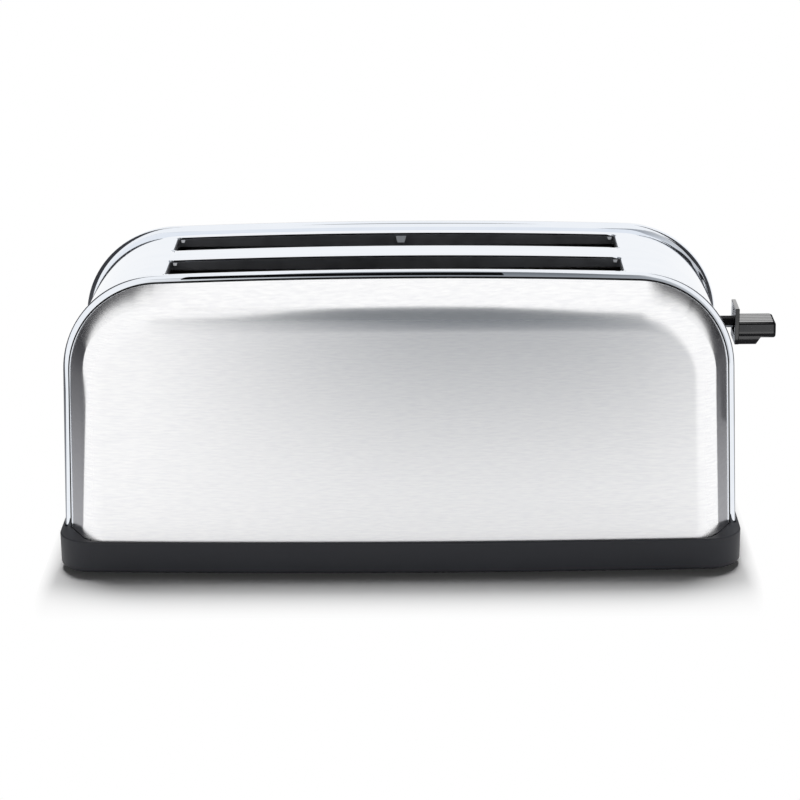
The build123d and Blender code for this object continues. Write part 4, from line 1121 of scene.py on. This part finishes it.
# %% [markdown]
# ## Cards for the steel to mirror
# Polished steel in a white room would look white, so cards stand round the toaster for it to
# mirror. A card changes from one tone at its foot to another at its head, and may fade into the
# white room towards its ends. Only mirror rays see it, so it casts no shadow and hides nothing. One
# grey card stands before each panel, and an arched one leans over the front to draw the band under
# the panel's top. Black strips over the bend draw the dark line in the front bead, and a white card
# keeps them out of the back bead. Two small dark cards stand before the lever, and one with a paler
# top beside each end darkens the flanks. The outlines were found by following the camera's rays to
# what they mirror.

# %% A card that only mirror rays see
FADE_POWER = 1.5


def card_finish(name, tones, low, high, fades):
    """Glow with a tone for the foot and the head of a card, fading at its left and right."""
    finish, tree, place = new_material(name)
    foot, head = tones
    axes = add(tree, "SeparateXYZ", {0: place})
    rise = {"Value": axes.outputs[2], "From Min": low.z, "From Max": high.z}
    height = add(tree, "MapRange", rise, interpolation_type="SMOOTHSTEP")
    tone = {0: height, 6: srgb(foot), 7: srgb(head)}
    face = add(tree, "Mix", tone, data_type="RGBA")
    spans = ((low.x + fades[0], low.x - MM), (high.x - fades[1], high.x + MM))
    ends = {}
    for i, (start, stop) in enumerate(spans):
        fade = {"Value": axes.outputs[0], "From Min": start, "From Max": stop}
        ends[i] = add(tree, "MapRange", fade)
    edge = add(tree, "Math", ends, operation="MAXIMUM")
    ease = add(tree, "Math", {0: edge, 1: FADE_POWER}, operation="POWER")
    soft = {0: ease, 6: face.outputs[2], 7: WHITE}
    mixed = add(tree, "Mix", soft, data_type="RGBA")
    glow = add(tree, "Emission", {"Color": mixed.outputs[2]})
    add(tree, "OutputMaterial", {"Surface": glow})
    return finish


def stand_card(name, corners, tones, low=0.0, high=1.0, fades=(0.0, 0.0)):
    """Card between its corners, with one tone at a low place and the other at a high one."""
    xs = [x for x, _, _ in corners]
    lowest, highest = Vector((min(xs), 0, low)), Vector((max(xs), 0, high))
    card = stage_face(name, corners, card_finish(name, tones, lowest, highest, fades))
    card.visible_camera = False
    card.visible_diffuse = False
    card.visible_shadow = False
    card.visible_transmission = False
    print(name, "is", [round(size, 2) for size in card.dimensions], "m")


def sheet_corners(span, foot, head):
    """Corners of a sheet between two ends in x, from the (y, z) of its foot to that of its head."""
    return [(span[0], *foot), (span[1], *foot), (span[1], *head), (span[0], *head)]


print("cards fade at their ends by a power of", FADE_POWER)

# %% Cards before, behind and over the toaster
# Upright cards reach through the floor, so that no gap shows under them.
CARD_FOOT = -1.5
FRONT_Y = -0.43
FRONT_TOP = 0.37
REAR_Y = 0.45
REAR_TOP = 0.22
BACK_Y = 0.046
# The arch leans from the front card's top to its own head; its points are an x and a share of that.
ARCH_HEAD = Vector((0, 0.1, 1.6))
ARCH_RIGHT = [(0.24, 0), (0.24, 0.1), (0.15, 0.2), (0.08, 0.6)]
ARCH_LEFT = [(0, 1), (-0.085, 0.6), (-0.15, 0.1), (-0.28, 0.03), (-0.28, 0)]

front = sheet_corners((-0.22, 0.36), (FRONT_Y, CARD_FOOT), (FRONT_Y, FRONT_TOP))
stand_card("front_card", front, ("#989b9f", "#82868b"), 0.0, 0.3, (0.23, 0.26))
rear = sheet_corners((-0.24, 0.2), (REAR_Y, CARD_FOOT), (REAR_Y, REAR_TOP))
stand_card("rear_card", rear, ("#a2a5a8", "#82868b"), 0.0, REAR_TOP, (0.14, 0.14))
foot = Vector((0, FRONT_Y, FRONT_TOP))
arch = [Vector((x, 0, 0)) + foot.lerp(ARCH_HEAD, rise) for x, rise in ARCH_RIGHT + ARCH_LEFT]
stand_card("arch_card", arch, ("#787c80", "#f2f3f4"), 0.65, ARCH_HEAD.z, (0.22, 0.1))
back = sheet_corners((-0.16, 0.14), (BACK_Y, 0.1662), (BACK_Y, 0.182))
stand_card("back_card", back, ("#ffffff", "#ffffff"))

# %% Cards at the lever and over the front bend
SHADE_GAP = 0.02
SHADE_PAST = 0.008
SHADES = (("under_lever", 0.07, 0.11, "#58585b"), ("over_lever", 0.134, 0.2, "#28282a"))
NEAR_X = [-0.134, -0.09, -0.045, 0.0, 0.048]
NEAR_LOW = 0.168
NEAR_HIGH = 0.215
NEAR_TONE = "#0c0c0d"
# Share of the bend's radius at which it mirrors straight up.
UPWARD = 0.4

shade_y = handle_low.y - SHADE_GAP
for name, low, high, tone in SHADES:
    shade = sheet_corners((PLATE_X, handle_high.x + SHADE_PAST), (shade_y, low), (shade_y, high))
    stand_card(name, shade, (tone, tone))

over_bend = panel_low.y + UPWARD * PANEL_BEND_R
for i, (x0, x1) in enumerate(zip(NEAR_X, NEAR_X[1:])):
    y0, y1 = over_bend + bow(x0), over_bend + bow(x1)
    near = [(x0, y0, NEAR_LOW), (x1, y1, NEAR_LOW), (x1, y1, NEAR_HIGH), (x0, y0, NEAR_HIGH)]
    stand_card(f"near_card_{i}", near, (NEAR_TONE, NEAR_TONE))

# %% Cards beside the ends
SIDE_X = 0.225
SIDE_TONES = ("#a0a0a3", "#3c3c3f")
SIDE_TOP_TONES = ("#3c3c3f", "#d8d8da")
SIDE_DARK = 0.15
# Outlines are given as (y, z), from the front foot upwards; both ends share one stretch.
SIDE_EDGE = [(-0.042, 0.14), (-0.02, 0.235), (0.0, 0.305)]
LEFT = [(-0.05, 0.0), (-0.08, 0.09)] + SIDE_EDGE + [(0.08, 0.48), (0.14, 0.48), (0.14, 0.0)]
LEFT_TOP = [(0.08, 0.48), (0.12, 0.6), (0.2, 0.8), (0.4, 0.8), (0.14, 0.48)]
RIGHT_BACK = [(0.03, 0.37), (0.09, 0.37), (0.055, 0.3), (0.055, 0.0)]
RIGHT = [(-0.042, 0.0), (-0.048, 0.09)] + SIDE_EDGE + RIGHT_BACK
RIGHT_TOP = [(0.03, 0.37), (0.08, 0.48), (0.1, 0.52), (0.15, 0.52), (0.09, 0.37)]

left_x, right_x = MIDDLE - SIDE_X, MIDDLE + SIDE_X
for name, x, outline in (("left_card", left_x, LEFT), ("right_card", right_x, RIGHT)):
    stand_card(name, [(x, y, z) for y, z in outline], SIDE_TONES, 0, SIDE_DARK)
tops = (("left_top", left_x, LEFT_TOP, 0.75), ("right_top", right_x, RIGHT_TOP, 0.5))
for name, x, outline, high in tops:
    stand_card(name, [(x, y, z) for y, z in outline], SIDE_TOP_TONES, outline[0][1], high)

# %% View transform
bpy.context.scene.view_settings.view_transform = "Standard"
